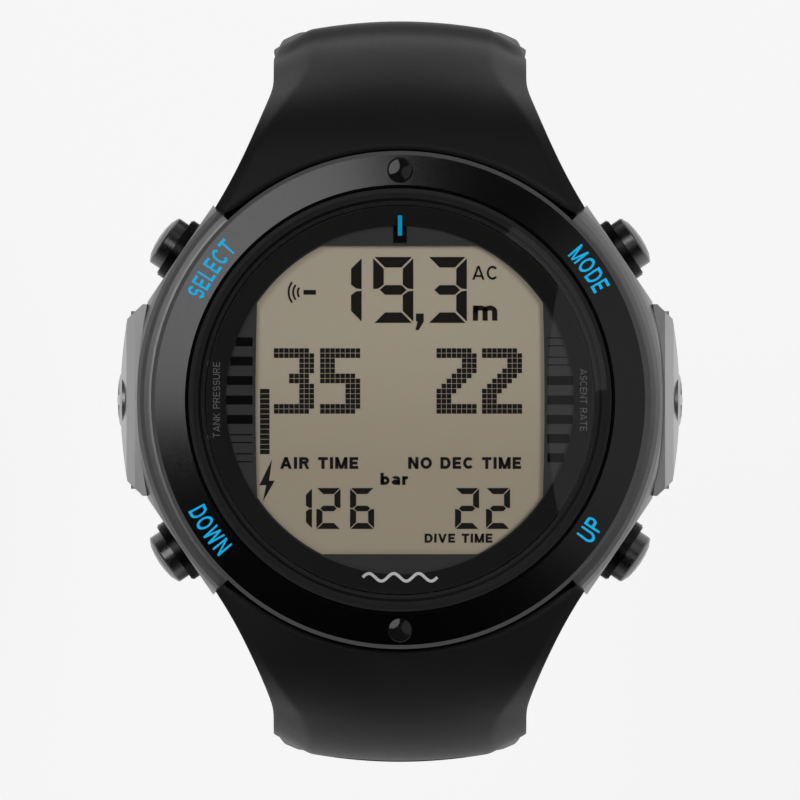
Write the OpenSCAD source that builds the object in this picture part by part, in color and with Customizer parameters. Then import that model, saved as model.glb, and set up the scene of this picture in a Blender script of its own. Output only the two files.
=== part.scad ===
// Wrist dive computer: a round steel case with four push buttons, a glass over a
// segment display, and a rubber strap in two halves with a tongue buckle.
// +Z points out of the display, +Y to twelve o'clock and +X to three o'clock.
// The origin is the centre of the case back's outer face, which lies on the wrist.
// The strap is unfastened and keeps the curve that it was moulded in.

/* [Dial and glass] */
// Radius of the dial seen inside the sloping flange ring
dial_r = 15.45; // [15.2:0.05:19]
// Width of the sloping flange ring around the dial, seen from the front
flange_w = 1.85; // [1.5:0.05:2.4]
// Rise of the flange ring from the dial to the glass
flange_h = 1.4; // [1.0:0.1:2.2]
// Width of the bevel ground around the glass
glass_bevel_w = 1.05; // [0.6:0.05:1.3]
// Thickness of the glass
glass_t = 2.4; // [2.0:0.1:3.2]
// Width of the display window in the dial mask
window_w = 25.6; // [20:0.1:27]
// Height of the display window in the dial mask
window_h = 27.3; // [20:0.1:28.6]

/* [Case] */
// Width of the bezel's wall, from the glass gasket outward
bezel_w = 3.3; // [2.9:0.05:4.5]
// Height of the bezel ring
bezel_h = 3.0; // [2.7:0.1:3.8]
// Fall of the bezel's face from its inner to its outer edge
bezel_fall = 0.3; // [0:0.05:0.4]
// Width of the steel shoulder left between the bezel and the side of the case
shoulder_w = 1.95; // [1.6:0.05:2.8]
// Height of the round between the shoulder and the side of the case
shoulder_h = 2.0; // [1.2:0.1:2.4]
// Thickness of the case back
back_t = 1.6; // [1.3:0.1:2.4]
// Angle of the seams between steel and strap, from the three o'clock line
strap_seam_a = 46.2; // [45.5:0.1:48]

/* [Buttons] */
// Angle of the buttons, from the three o'clock line
button_a = 34.2; // [33:0.1:35]
// Diameter of a button's head
button_d = 4.7; // [3.8:0.1:5.0]
// How far a button travels
button_travel = 0.9; // [0.5:0.05:1.0]
// How far a button's crown stands out of its collar
button_stand = 1.6; // [1.3:0.1:2.4]
// Diameter of a button's stem
stem_d = 2.0; // [1.6:0.1:2.2]

/* [Battery] */
// Diameter of the coin cell
battery_d = 24.5; // [20:0.5:24.5]
// Height of the coin cell
battery_h = 5.0; // [3.2:0.1:6.0]

/* [Side guards] */
// Length of a side guard along the case
guard_l = 17.2; // [15:0.1:18]
// Height of a side guard
guard_h = 7.6; // [6.4:0.1:8.0]
// Thickness of a side guard
guard_t = 1.5; // [1.2:0.1:2.0]

/* [Strap] */
// Width of the strap at the bend below the case
strap_w = 22.6; // [22.4:0.1:26]
// Width of the strap at the buckle
strap_end_w = 20.0; // [18.6:0.1:21]
// Thickness of the strap at the bend
strap_t = 4.6; // [3.9:0.1:5.5]
// Thickness of the strap's thin part
strap_thin_t = 3.4; // [2.9:0.1:3.8]
// Radius of the short half's bend below the case
short_bend_r = 14.5; // [13:0.5:18]
// Radius of the long half's bend below the case
long_bend_r = 12.6; // [12:0.1:16]
// Length of the long half beyond its last curve
tail_l = 34; // [28:1:38]
// Pitch of the holes for the buckle's tongue
hole_pitch = 6.2; // [5:0.1:7]
// Number of holes for the buckle's tongue
hole_count = 9; // [5:1:10]
// Diameter of the spring bars' bodies
bar_d = 1.8; // [1.5:0.1:2.0]

/* [Hidden] */
$fn = 96;
eps = 0.01;

// Clearances
fit = 0.05;        // running fit, on the radius
seat = 0.01;       // a part pressed or clamped in its seat, on the radius
loose = 0.1;       // a part laid in a pocket
free = 0.3;        // between parts that swing past each other

// Radii, from the dial outward
glass_top_r = dial_r + flange_w;
glass_r = glass_top_r + glass_bevel_w;
gasket_w = 0.4;
bezel_bore_r = glass_r + gasket_w;
bezel_r = bezel_bore_r + bezel_w;
case_r = bezel_r + shoulder_w;
cavity_r = glass_top_r - 0.05;
low_cavity_r = cavity_r - 0.8;

// Heights, from the wrist upward
case_z = 0.4;                              // the case's lower edge
contact_t = 0.25;
battery_z = back_t + 2 * loose + contact_t;
board_z = battery_z + battery_h + 0.95;
board_t = 0.8;
light_z = board_z + board_t + 0.4;
light_t = 0.8;
display_z = light_z + light_t + loose;
display_t = 1.5;
mask_z = display_z + display_t + loose;
mask_t = 0.4;
flange_z = mask_z + mask_t + seat;
glass_z = flange_z + flange_h + loose;
ledge_z = glass_z - 0.2;                   // bezel's ledge, under the gasket's foot
case_top = ledge_z - 1.0;
bezel_top = case_top + bezel_h;
button_z = board_z - 0.4;

// Buttons: places along the radial axis, from the watch's centre
shoulder_run = shoulder_w + 0.2;           // width of the shoulder's round, a little under the bezel
flat_r = case_r - 0.6;                     // flats on the case under the collars
collar_out = flat_r + 0.8;
collar_in = flat_r - 0.8;
collar_wall = 0.5;
head_r = button_d / 2;
head_bore_r = head_r + fit;
stem_r = stem_d / 2;
crown_out = collar_out + button_stand;
head_in = flat_r - 0.4;                    // inner face of the button's head
spring_end = head_in - 2.15;               // floor of the spring's bore
gland_r = stem_r + 0.4;
gland_in = spring_end - 2.0;
clip_pocket_out = gland_in - 0.9;
clip_t = 0.4;
clip_r = stem_r + 0.9;
clip_out = clip_pocket_out - fit;
stem_tip = clip_out - clip_t - 0.4;
switch_face = stem_tip - button_travel - fit;
seal_r = 0.3;                              // radius of the seal's round section
seal_at = spring_end - 0.5;
angles = [180 - button_a, button_a, 180 + button_a, -button_a];   // select, mode, down, up

// Case back
back_r = glass_r + 2.45;
back_screw_r = back_r - 1.3;
back_gasket_r = low_cavity_r + 1.2;

// Bezel screws and their plugs
plug_r = 1.12;
plug_at = bezel_bore_r + 1.6;
plug_h = 1.1;
plug_top = bezel_top - bezel_fall / 2;

// Side guards
guard_z = button_z - 0.2;
guard_seat_x = case_r - 0.7;
guard_curve_r = 40;
guard_screw_y = guard_l / 2 - 1.7;
port_r = 2.5;
sensor_r = 2.5;
guard_screw_r = 0.6;

// Strap
bar_r = bar_d / 2;
bar_tip_r = bar_r - 0.15;
lug_r = 2.4;
lug_t = 2.2;
lug_gap = 17.2;                            // between a pair of lugs
knuckle_r = 3.1;
knuckle_w = lug_gap - 2 * free;
strap_case_r = bezel_r - 0.15;             // the case is this round under the strap
strap_gap_r = bezel_r + 0.28;              // inner edge of the strap along the bezel
bar_y = strap_case_r + 0.4 + knuckle_r;
bar_z = 5.0;
strap_top_z = bezel_top - 2.2;             // strap's outer face where it meets the bezel
shield_l = 7.4;                            // strap's run over the shoulder, before the bend
shield_y = strap_gap_r - shield_l;
shield_drop = 6;                           // turn over the shield, degrees
start_drop = 6;                            // slope at the strap's start, degrees
bend_drop = 90 - start_drop - shield_drop; // turn of the bend, down to vertical
start_z = strap_top_z + shield_l * tan(start_drop + shield_drop / 2);
flare_w = 6.6;                             // extra half width at the strap's start
plateau_w = 8.15;                          // half width of the strap's raised middle
ring_pitch = 2.4;

short_drop = 8;                            // straight run below the bend
short_curve_r = 26;
short_curve_a = 92;
short_end = 2;
long_lean = 3;                              // lean of the long half's straight run to the wrist, degrees
long_drop = 32;
long_curve_r = 34;
long_curve_a = 66 - long_lean;

// Segments of each half's outer line: [length, turn in degrees]
short_path = [
    [shield_l, -shield_drop],
    [short_bend_r * bend_drop * PI / 180, -bend_drop],
    [short_drop, 0],
    [short_curve_r * short_curve_a * PI / 180, -short_curve_a],
    [short_end, 0]
];
long_path = [
    [shield_l, -shield_drop],
    [long_bend_r * (bend_drop + long_lean) * PI / 180, -bend_drop - long_lean],
    [long_drop, 0],
    [long_curve_r * long_curve_a * PI / 180, -long_curve_a],
    [tail_l, -6]
];
short_l = path_length(short_path);
long_l = path_length(long_path);

// Buckle
buckle_r = 0.75;
buckle_knuckle_r = 1.95;
buckle_at = along(short_path, short_l, shield_y, start_z, -start_drop);
buckle_y = buckle_at[0] + strap_thin_t / 2 * sin(buckle_at[2]);
buckle_z = buckle_at[1] - strap_thin_t / 2 * cos(buckle_at[2]);
arm_w = 2.0;
frame_t = 2.4;
frame_in_w = strap_end_w + 2 * free;
window_l = 11.6;
front_w = 2.4;
tongue_w = 2.4;
tongue_t = 1.4;
tongue_l = window_l + front_w + 0.6;
tongue_slot_w = tongue_w + 0.5;
tongue_slot_l = 5;
tongue_lean = atan((frame_t / 2 + fit + tongue_t / 2) / (window_l - 0.3));

// Keepers, on the short half's curve
curve_start = path_length([short_path[0], short_path[1], short_path[2]]);
curve_at = along(short_path, curve_start, shield_y, start_z, -start_drop);
curve_y = curve_at[0] - short_curve_r;
curve_z = curve_at[1];
keeper_a = 12;                             // angle that a keeper covers along the curve
keeper_fixed_a = 73;
keeper_free_a = 53;
keeper_wall = 1.2;
keeper_room = strap_thin_t + 0.4;          // room for the long half on top of the short one

// ---------------------------------------------------------------- functions

function path_length(segs, i = 0) = i == len(segs) ? 0 : segs[i][0] + path_length(segs, i + 1);

// Point and heading [y, z, heading] at distance s along a chain of arcs and lines.
function along(segs, s, y, z, a, i = 0) =
    let (
        run = segs[i][0],
        rate = segs[i][1] / run,
        u = min(s, run),
        b = a + rate * u,
        r = abs(rate) < 1e-6 ? 0 : 180 / (PI * rate),
        y2 = r == 0 ? y + u * cos(a) : y + r * (sin(b) - sin(a)),
        z2 = r == 0 ? z + u * sin(a) : z - r * (cos(b) - cos(a))
    )
    s <= run || i == len(segs) - 1 ? [y2, z2, b] : along(segs, s - run, y2, z2, b, i + 1);

function smooth(u) = let (v = max(0, min(1, u))) v * v * (3 - 2 * v);
function mix(a, b, u) = a + (b - a) * u;

// Distance along a half where the bend ends
function bend_end(segs) = segs[0][0] + segs[1][0];

// Half width of the strap: it flares to meet the case, and narrows to the buckle.
function half_width(segs, s) =
    let (
        flare_end = bend_end(segs) * 0.66,
        u = max(0, 1 - s / flare_end),
        narrow = smooth((s - bend_end(segs)) / 22)
    )
    mix(strap_w, strap_end_w, narrow) / 2 + flare_w * pow(u, 1.85);

// Thickness of the strap: deep beside the case, thin towards the end.
function strap_depth(segs, s) =
    let (deep = bar_z + 4.4)
    s < bend_end(segs)
        ? mix(deep, strap_t, smooth(s / (bend_end(segs) * 0.72)))
        : mix(strap_t, strap_thin_t, smooth((s - bend_end(segs)) / 16));

// Outline of the strap's section at distance s, as [x, depth below the outer face].
function section(segs, s) =
    let (
        w = half_width(segs, s),
        t = strap_depth(segs, s),
        bent = smooth((s - 4) / (bend_end(segs) * 0.6)),
        thin = smooth((s - bend_end(segs)) / 18),
        p = mix(mix(w - 1.2, plateau_w, bent), strap_end_w / 2 - 1.2, thin),
        crown = mix(mix(0.3, 0.7, bent), 0.15, thin),
        edge = mix(mix(0.8, 2.7, bent), 0.7, thin)
    )
    [
        [0, 0], [p, crown], [w - 0.35, edge], [w, edge + 0.5], [w, t - 0.9], [w - 0.9, t],
        [-w + 0.9, t], [-w, t - 0.9], [-w, edge + 0.5], [-w + 0.35, edge], [-p, crown]
    ];

// Ring of points on one half at distance s.
function ring(segs, s, y0, z0, a0) =
    let (at = along(segs, s, y0, z0, a0))
    [for (q = section(segs, s)) [q[0], at[0] + q[1] * sin(at[2]), at[1] - q[1] * cos(at[2])]];

// ---------------------------------------------------------------- shared shapes

// Closed tube or bar from equal rings of points.
module skin(rings) {
    n = len(rings[0]);
    m = len(rings);
    polyhedron(
        points = [for (r = rings) each r],
        faces = concat(
            [[for (j = [0 : n - 1]) j]],
            [for (i = [0 : m - 2], j = [0 : n - 1]) each [
                [i * n + j, (i + 1) * n + j, (i + 1) * n + (j + 1) % n],
                [i * n + j, (i + 1) * n + (j + 1) % n, i * n + (j + 1) % n]
            ]],
            [[for (j = [n - 1 : -1 : 0]) (m - 1) * n + j]]
        ),
        convexity = 6
    );
}

// Ring of revolution with a rectangular section.
module tube(r_out, r_in, h) {
    difference() {
        cylinder(r = r_out, h = h);
        translate([0, 0, -1]) cylinder(r = r_in, h = h + 2);
    }
}

// Cylinder along the radial line at angle a, from distance d0 to d1, at height z.
module radial(a, z, d0, d1, r) {
    rotate([0, 0, a]) translate([d0, 0, z]) rotate([0, 90, 0]) cylinder(r = r, h = d1 - d0);
}

// Cylinder along X, centred on x = 0.
module across(y, z, w, r) {
    translate([-w / 2, y, z]) rotate([0, 90, 0]) cylinder(r = r, h = w);
}

// Wedge seen from the front between the seams, on the side of +Y.
module strap_wedge(a, r) {
    linear_extrude(height = 60, center = true)
        polygon([[0, 0], [r * cos(a), r * sin(a)], [0, r * 2], [-r * cos(a), r * sin(a)]]);
}

// Window of the dial: a box with bowed sides, cut by the dial's circle.
module window_shape(grow = 0) {
    bow = 0.35;
    side_r = (window_h * window_h / 4 + bow * bow) / (2 * bow);
    intersection() {
        circle(r = dial_r - 0.15 + grow);
        square([window_w + 2 * grow, window_h + 2 * grow], center = true);
        translate([side_r - window_w / 2 - grow, 0]) circle(r = side_r, $fn = 400);
        translate([window_w / 2 + grow - side_r, 0]) circle(r = side_r, $fn = 400);
    }
}

// Plate of the display stack: a box cut round to fit the cavity.
module stack_plate(w, h, r, t) {
    intersection() {
        translate([-w / 2, -h / 2, 0]) cube([w, h, t]);
        cylinder(r = r, h = t);
    }
}

// ---------------------------------------------------------------- case

module case_blank() {
    difference() {
        rotate_extrude() polygon([
            [0, case_z], [case_r - 2.6, case_z], [case_r - 0.9, case_z + 0.8], [case_r, case_z + 2.6],
            for (t = [0 : 11.25 : 90])
                [case_r - shoulder_run * (1 - cos(t)), case_top - shoulder_h * (1 - sin(t))],
            [0, case_top]
        ]);
        // flats under the button collars
        for (a = angles)
            rotate([0, 0, a]) translate([flat_r, -7, case_z - 1]) cube([5, 14, case_top + 2]);
        // seats of the side guards
        for (side = [0, 180]) rotate([0, 0, side]) difference() {
            translate([guard_seat_x - 3, -guard_l / 2, guard_z - guard_h / 2 - free])
                cube([6, guard_l, case_top]);
            translate([guard_seat_x - guard_curve_r, 0, 0])
                cylinder(r = guard_curve_r, h = case_top + 1, $fn = 360);
        }
        // the steel is cut back under the strap's two ends
        for (side = [0, 180]) rotate([0, 0, side]) difference() {
            strap_wedge(strap_seam_a, 40);
            cylinder(r = strap_case_r, h = 60, center = true);
        }
    }
}

module lugs() {
    for (side = [0, 180], sx = [-1, 1]) rotate([0, 0, side])
        translate([sx * (lug_gap + lug_t) / 2 - lug_t / 2, 0, 0])
            rotate([90, 0, 90]) linear_extrude(height = lug_t) {
                translate([bar_y, bar_z]) circle(r = lug_r);
                translate([cavity_r + 1, bar_z - lug_r]) square([bar_y - cavity_r - 1, 2 * lug_r]);
            }
}

module case_middle() color("silver") difference() {
    union() {
        case_blank();
        lugs();
    }
    // room for the module above, and for the battery below
    translate([0, 0, board_z - 0.6]) cylinder(r = cavity_r, h = case_top);
    cylinder(r = low_cavity_r, h = case_top);
    // seat of the case back, its gasket and its screws
    translate([0, 0, -1]) cylinder(r = back_r + loose / 2, h = back_t + 1 + seat);
    translate([0, 0, back_t]) tube(back_gasket_r + 0.5, back_gasket_r - 0.5, 0.75);
    for (a = [45 : 90 : 315]) rotate([0, 0, a]) translate([back_screw_r, 0, 0])
        cylinder(r = 0.7 + seat, h = back_t + 2.6);
    // screws that hold the bezel
    for (sy = [-1, 1]) translate([0, sy * plug_at, case_top - 3.2]) cylinder(r = 0.6 + seat, h = 4);
    // stepped bores of the four buttons
    for (a = angles) {
        radial(a, button_z, collar_in, case_r + 1, head_bore_r + collar_wall + seat);
        radial(a, button_z, spring_end, case_r, head_bore_r);
        radial(a, button_z, gland_in, spring_end + eps, gland_r);
        radial(a, button_z, clip_pocket_out - eps, gland_in + eps, stem_r + fit);
        radial(a, button_z, low_cavity_r - 1, clip_pocket_out, clip_r + 0.35);
    }
    // bores behind the two port covers, and the guards' screw holes
    for (a = [0, 180]) {
        radial(a, guard_z, low_cavity_r - 1, guard_seat_x - 0.7, sensor_r + seat);
        radial(a, guard_z, guard_seat_x - 1, case_r + 1, 1.0);
        rotate([0, 0, a]) for (sy = [-1, 1])
            translate([guard_seat_x - 2.6, sy * guard_screw_y, guard_z]) rotate([0, 90, 0])
                cylinder(r = guard_screw_r + seat, h = 4);
    }
    // holes for the spring bars' tips
    for (sy = [-1, 1]) across(sy * bar_y, bar_z, lug_gap + 2 * lug_t + 1, bar_tip_r + fit);
}

module case_back() color("gray") difference() {
    union() {
        cylinder(r = back_r, h = back_t);
        translate([0, 0, back_t]) tube(low_cavity_r - loose, low_cavity_r - 1.3, 0.5);
    }
    for (a = [45 : 90 : 315]) rotate([0, 0, a]) translate([back_screw_r, 0, -1]) {
        cylinder(r = 0.7 + fit, h = back_t + 2);
        cylinder(r = 1.15, h = 1 + 0.75);
    }
    // slot for prising the back out once its screws are off, and two turned rings
    translate([-5, -0.8, -1]) cube([10, 1.6, 1.5]);
    for (r = [8, 15]) translate([0, 0, -1]) tube(r + 0.3, r, 1.15);
}

module case_back_gasket() color("black")
    rotate_extrude() translate([back_gasket_r, back_t + 0.38]) circle(r = 0.37, $fn = 32);

module case_back_screws() color("dimgray")
    for (a = [45 : 90 : 315]) rotate([0, 0, a]) translate([back_screw_r, 0, 0.15]) difference() {
        union() {
            cylinder(r = 1.1, h = 0.58);
            cylinder(r = 0.7, h = back_t + 2.3);
        }
        translate([0, 0, -1]) cylinder(r = 0.55, h = 1.35, $fn = 6);
    }

module bezel() color("black") difference() {
    rotate_extrude($fn = 180) polygon([
        [glass_top_r + loose, case_top + seat], [bezel_r - 0.3, case_top + seat],
        [bezel_r, case_top + 0.4], [bezel_r, bezel_top - bezel_fall - 0.45],
        [bezel_r - 0.35, bezel_top - bezel_fall],
        [bezel_bore_r + 0.3, bezel_top], [bezel_bore_r, bezel_top - 0.7],
        [bezel_bore_r, ledge_z], [glass_top_r + loose, ledge_z]
    ]);
    for (sy = [-1, 1]) translate([0, sy * plug_at, 0]) {
        translate([0, 0, bezel_top - plug_h]) cylinder(r = plug_r + seat, h = 5);
        cylinder(r = 0.6 + fit, h = bezel_top);
    }
}

module bezel_screws() color("dimgray") for (sy = [-1, 1]) translate([0, sy * plug_at, 0]) {
    translate([0, 0, case_top - 3]) cylinder(r = 0.6, h = bezel_top - plug_h - case_top + 3);
}

module bezel_plugs() color("black") for (sy = [-1, 1]) translate([0, sy * plug_at, 0]) {
    rotate_extrude() polygon([
        [0, bezel_top - plug_h + seat], [plug_r, bezel_top - plug_h + seat],
        [plug_r, plug_top - 0.15], [plug_r - 0.15, plug_top - 0.02], [0, plug_top + 0.08]
    ]);
}

module glass() color("lightblue", 0.3) rotate_extrude($fn = 180) polygon([
    [0, glass_z], [glass_r, glass_z], [glass_r, glass_z + glass_t - 0.6],
    [glass_top_r, glass_z + glass_t], [0, glass_z + glass_t]
]);

module glass_gasket() color("black") rotate_extrude($fn = 180) polygon([
    [glass_top_r + 0.2, ledge_z + seat], [bezel_bore_r - seat, ledge_z + seat],
    [bezel_bore_r - seat, bezel_top - 0.6], [glass_r + seat, bezel_top - 0.6],
    [glass_r + seat, glass_z - seat], [glass_top_r + 0.2, glass_z - seat]
]);

module flange_ring() color("black") rotate_extrude($fn = 180) polygon([
    [dial_r, flange_z], [cavity_r - fit, flange_z], [cavity_r - fit, flange_z + flange_h],
    [cavity_r - fit - 0.15, flange_z + flange_h], [dial_r, flange_z + 0.3]
]);

module dial_mask() color("darkslategray") translate([0, 0, mask_z]) difference() {
    cylinder(r = cavity_r - fit, h = mask_t);
    translate([0, 0, -1]) linear_extrude(height = 3) window_shape();
}

// ---------------------------------------------------------------- module inside the case

plate_w = window_w + 2.6;
plate_h = window_h + 2.4;
plate_r = cavity_r - 0.85;

module display_panel() color("darkkhaki") translate([0, 0, display_z])
    stack_plate(plate_w, plate_h, plate_r, display_t);

module backlight() color("white") translate([0, 0, light_z])
    stack_plate(plate_w - 1.4, plate_h - 1.4, plate_r - 0.7, light_t);

module module_frame() color("ivory") difference() {
    translate([0, 0, board_z + board_t + fit])
        cylinder(r = cavity_r - loose, h = mask_z - board_z - board_t - 2 * fit);
    translate([0, 0, display_z - loose / 2])
        stack_plate(plate_w + loose, plate_h + loose, plate_r + loose, 4);
    translate([0, 0, light_z - loose / 2])
        stack_plate(plate_w - 1.4 + loose, plate_h - 1.4 + loose, plate_r - 0.7 + loose, 4);
    translate([0, 0, board_z]) stack_plate(plate_w - 5, plate_h - 5, plate_r - 3, 4);
    for (a = angles) radial(a, button_z, switch_face - 1, case_r, clip_r + 0.35);
}

module circuit_board() color("darkgreen") translate([0, 0, board_z]) difference() {
    cylinder(r = switch_face - 0.4, h = board_t);
    for (a = [90, 270]) rotate([0, 0, a]) translate([switch_face - 1.9, 0, -1])
        cylinder(r = 0.5, h = 3);
}

module board_components() color("dimgray") {
    top = board_z - seat;
    // processor, memory, radio receiver and a crystal
    for (c = [[-5, 3, 6, 6], [3, 4, 4, 5], [-4, -5, 5, 3.6], [4, -4, 3, 2]])
        translate([c[0] - c[2] / 2, c[1] - c[3] / 2, top - 0.7]) cube([c[2], c[3], 0.7]);
    // one side-push switch in front of each button
    for (a = angles) rotate([0, 0, a]) {
        translate([switch_face - 2.2, -1.6, top - 0.75]) cube([1.8, 3.2, 0.75]);
        translate([switch_face - 0.45, -0.6, top - 0.6]) cube([0.45, 1.2, 0.45]);
    }
}

battery_x = -(low_cavity_r - battery_d / 2 - 1.1);

module battery() color("silver") translate([battery_x, 0, battery_z]) {
    rotate_extrude() polygon([
        [0, 0], [battery_d / 2 - 1.6, 0], [battery_d / 2 - 1.6, 0.3], [battery_d / 2 - 0.3, 0.3],
        [battery_d / 2, 0.6], [battery_d / 2, battery_h - 0.3], [battery_d / 2 - 0.3, battery_h],
        [0, battery_h]
    ]);
}

module battery_contact() color("gold") {
    edge = battery_x + battery_d / 2;
    translate([battery_x - 4, -2, back_t + loose]) cube([edge + 0.55 - battery_x + 4, 4, contact_t]);
    translate([edge + 0.3, -2, back_t + loose]) cube([contact_t, 4, board_z - back_t - loose - seat]);
}

coil_w = 3.6;
coil_x = battery_x + battery_d / 2 + 0.9 + coil_w / 2;

module antenna_coil() color("peru") translate([coil_x, 1.6, battery_z + 0.2 + coil_w / 2]) rotate([90, 0, 0]) {
    cylinder(r = coil_w / 2 - 0.3, h = 7.4, center = true);
    for (s = [-1, 1]) translate([0, 0, s * 4.2]) cube([coil_w, coil_w, 1.2], center = true);
}

module buzzer() color("goldenrod") rotate([0, 0, -36])
    translate([low_cavity_r - 1.4 - 2.9, 0, back_t + fit]) {
        cylinder(r = 2.8, h = 0.35);
        cylinder(r = 2.0, h = 2.2);
    }

module pressure_sensor() color("silver")
    radial(180, guard_z, cavity_r + fit, guard_seat_x - 0.75, sensor_r);

module data_plug() color("black") difference() {
    radial(0, guard_z, cavity_r + fit, guard_seat_x - 0.75, sensor_r);
    for (y = [-1.4, 0, 1.4]) translate([low_cavity_r - 2, y, guard_z]) rotate([0, 90, 0])
        cylinder(r = 0.35 + seat, h = 12);
}

module data_pins() color("gold") for (y = [-1.4, 0, 1.4])
    translate([low_cavity_r - 0.9, y, guard_z]) rotate([0, 90, 0])
        cylinder(r = 0.35, h = guard_seat_x - 0.8 - low_cavity_r + 0.9);

// ---------------------------------------------------------------- side guards and ports

module guard_blank() {
    top = guard_z + guard_h / 2;
    low = guard_z - guard_h / 2;
    difference() {
        intersection() {
            translate([guard_seat_x - guard_curve_r, 0, 0]) difference() {
                cylinder(r = guard_curve_r + guard_t, h = 30, $fn = 360);
                translate([0, 0, -1]) cylinder(r = guard_curve_r + seat, h = 32, $fn = 360);
            }
            // ends are chamfered in plan
            linear_extrude(height = 30) polygon([
                [guard_seat_x - 2, -guard_l / 2 + 0.1], [guard_seat_x - 0.5, -guard_l / 2 + 0.1],
                [guard_seat_x + guard_t, -guard_l / 2 + 2], [guard_seat_x + guard_t, guard_l / 2 - 2],
                [guard_seat_x - 0.5, guard_l / 2 - 0.1], [guard_seat_x - 2, guard_l / 2 - 0.1]
            ]);
            // top and bottom edges are chamfered, then slope to the outer face
            translate([0, guard_l / 2, 0]) rotate([90, 0, 0]) linear_extrude(height = guard_l) polygon([
                [guard_seat_x - 2, low], [guard_seat_x + 0.2, low], [guard_seat_x + 0.95, low + 0.9],
                [guard_seat_x + guard_t, low + 2.6], [guard_seat_x + guard_t, top - 2.6],
                [guard_seat_x + 0.95, top - 0.9], [guard_seat_x + 0.2, top], [guard_seat_x - 2, top]
            ]);
        }
        radial(0, guard_z, 0, case_r + 3, port_r + seat);
        for (sy = [-1, 1]) translate([guard_seat_x - 3, sy * guard_screw_y, guard_z]) rotate([0, 90, 0]) {
            cylinder(r = guard_screw_r + fit, h = 8);
            translate([0, 0, 3.05]) cylinder(r = 1.05, h = 5);
        }
    }
}

module side_guard_right() color("silver") guard_blank();

module side_guard_left() color("silver") rotate([0, 0, 180]) guard_blank();

module guard_screws() color("dimgray")
    for (a = [0, 180], sy = [-1, 1]) rotate([0, 0, a])
        translate([guard_seat_x - 2.5, sy * guard_screw_y, guard_z]) rotate([0, 90, 0]) difference() {
            union() {
                cylinder(r = guard_screw_r, h = 3.0);
                translate([0, 0, 2.57]) cylinder(r = 1.0, h = 0.5);
            }
            translate([0, 0, 2.8]) cylinder(r = 0.45, h = 1, $fn = 6);
        }

// Round cover with a low dome and arc slots that let the water in.
module port_cover() difference() {
    translate([guard_seat_x + seat, 0, guard_z]) rotate([0, 90, 0]) rotate_extrude() polygon([
        [0, 0], [port_r, 0], [port_r, guard_t - 0.15], [port_r - 0.35, guard_t + 0.05],
        [port_r - 1.3, guard_t + 0.2], [0, guard_t + 0.27]
    ]);
    translate([guard_seat_x + guard_t - 0.75, 0, guard_z]) rotate([0, 90, 0]) difference() {
        tube(1.95, 1.4, 2);
        for (a = [0, 90]) rotate([0, 0, a]) translate([-3, -0.45, -1]) cube([6, 0.9, 4]);
    }
}

module port_cover_right() color("silver") port_cover();

module port_cover_left() color("silver") rotate([0, 0, 180]) port_cover();

// ---------------------------------------------------------------- buttons

module button_collars() color("dimgray") for (a = angles)
    rotate([0, 0, a]) translate([collar_in + seat, 0, button_z]) rotate([0, 90, 0]) difference() {
        union() {
            cylinder(r = head_bore_r + collar_wall, h = collar_out - collar_in - seat - 0.12);
            cylinder(r = head_bore_r + collar_wall - 0.12, h = collar_out - collar_in - seat);
        }
        translate([0, 0, -1]) cylinder(r = head_bore_r, h = 6);
    }

// Head with a domed crown, and a stem with grooves for the seal and the clip.
module button(i) color("dimgray")
    rotate([0, 0, angles[i]]) translate([0, 0, button_z]) rotate([0, 90, 0]) rotate_extrude() polygon([
        [0, stem_tip], [stem_r - 0.1, stem_tip], [stem_r, stem_tip + 0.1],
        [stem_r, clip_out - clip_t - seat], [stem_r - 0.3, clip_out - clip_t - seat],
        [stem_r - 0.3, clip_out + seat], [stem_r, clip_out + seat],
        [stem_r, seal_at - seal_r - 0.02], [stem_r - 0.22, seal_at - seal_r - 0.02],
        [stem_r - 0.22, seal_at + seal_r + 0.02], [stem_r, seal_at + seal_r + 0.02],
        [stem_r, head_in], [head_r, head_in],
        [head_r, crown_out - 0.62], [head_r - 0.1, crown_out - 0.48], [head_r - 0.7, crown_out - 0.2],
        [head_r - 1.5, crown_out - 0.05], [0, crown_out]
    ]);

module seal(i) color("black")
    rotate([0, 0, angles[i]]) translate([seal_at, 0, button_z]) rotate([0, 90, 0])
        rotate_extrude() translate([stem_r - 0.2 + seal_r, 0]) circle(r = seal_r, $fn = 32);

module clip(i) color("silver")
    rotate([0, 0, angles[i]]) translate([clip_out - clip_t, 0, button_z]) rotate([0, 90, 0]) difference() {
        cylinder(r = clip_r, h = clip_t);
        translate([0, 0, -1]) cylinder(r = stem_r - 0.3 + seat, h = 3);
        translate([-stem_r * 0.55, 0, -1]) cube([stem_r * 1.1, 5, 3]);
    }

// Return spring: a round wire wound around the stem under the head.
module spring(i) color("silver") {
    wire_r = 0.17;
    wind_r = (stem_r + head_r) / 2;
    room = head_in - spring_end - 2 * wire_r - 0.06;
    turns = 2.5;
    steps = 44;
    rings = [for (k = [0 : steps])
        let (
            a = 360 * turns * k / steps,
            x = spring_end + wire_r + 0.03 + room * k / steps
        )
        [for (q = [0 : 60 : 300])
            [x + wire_r * sin(q), (wind_r + wire_r * cos(q)) * cos(a), (wind_r + wire_r * cos(q)) * sin(a)]]];
    rotate([0, 0, angles[i]]) translate([0, 0, button_z]) skin(rings);
}

module button_select() button(0);
module button_mode() button(1);
module button_down() button(2);
module button_up() button(3);
module spring_select() spring(0);
module spring_mode() spring(1);
module spring_down() spring(2);
module spring_up() spring(3);
module seal_select() seal(0);
module seal_mode() seal(1);
module seal_down() seal(2);
module seal_up() seal(3);
module clip_select() clip(0);
module clip_mode() clip(1);
module clip_down() clip(2);
module clip_up() clip(3);

// ---------------------------------------------------------------- strap

module lug_bar(y) color("silver") {
    across(y, bar_z, lug_gap - 2 * loose, bar_r);
    across(y, bar_z, lug_gap + 2 * lug_t - 0.8, bar_tip_r);
}

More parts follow.
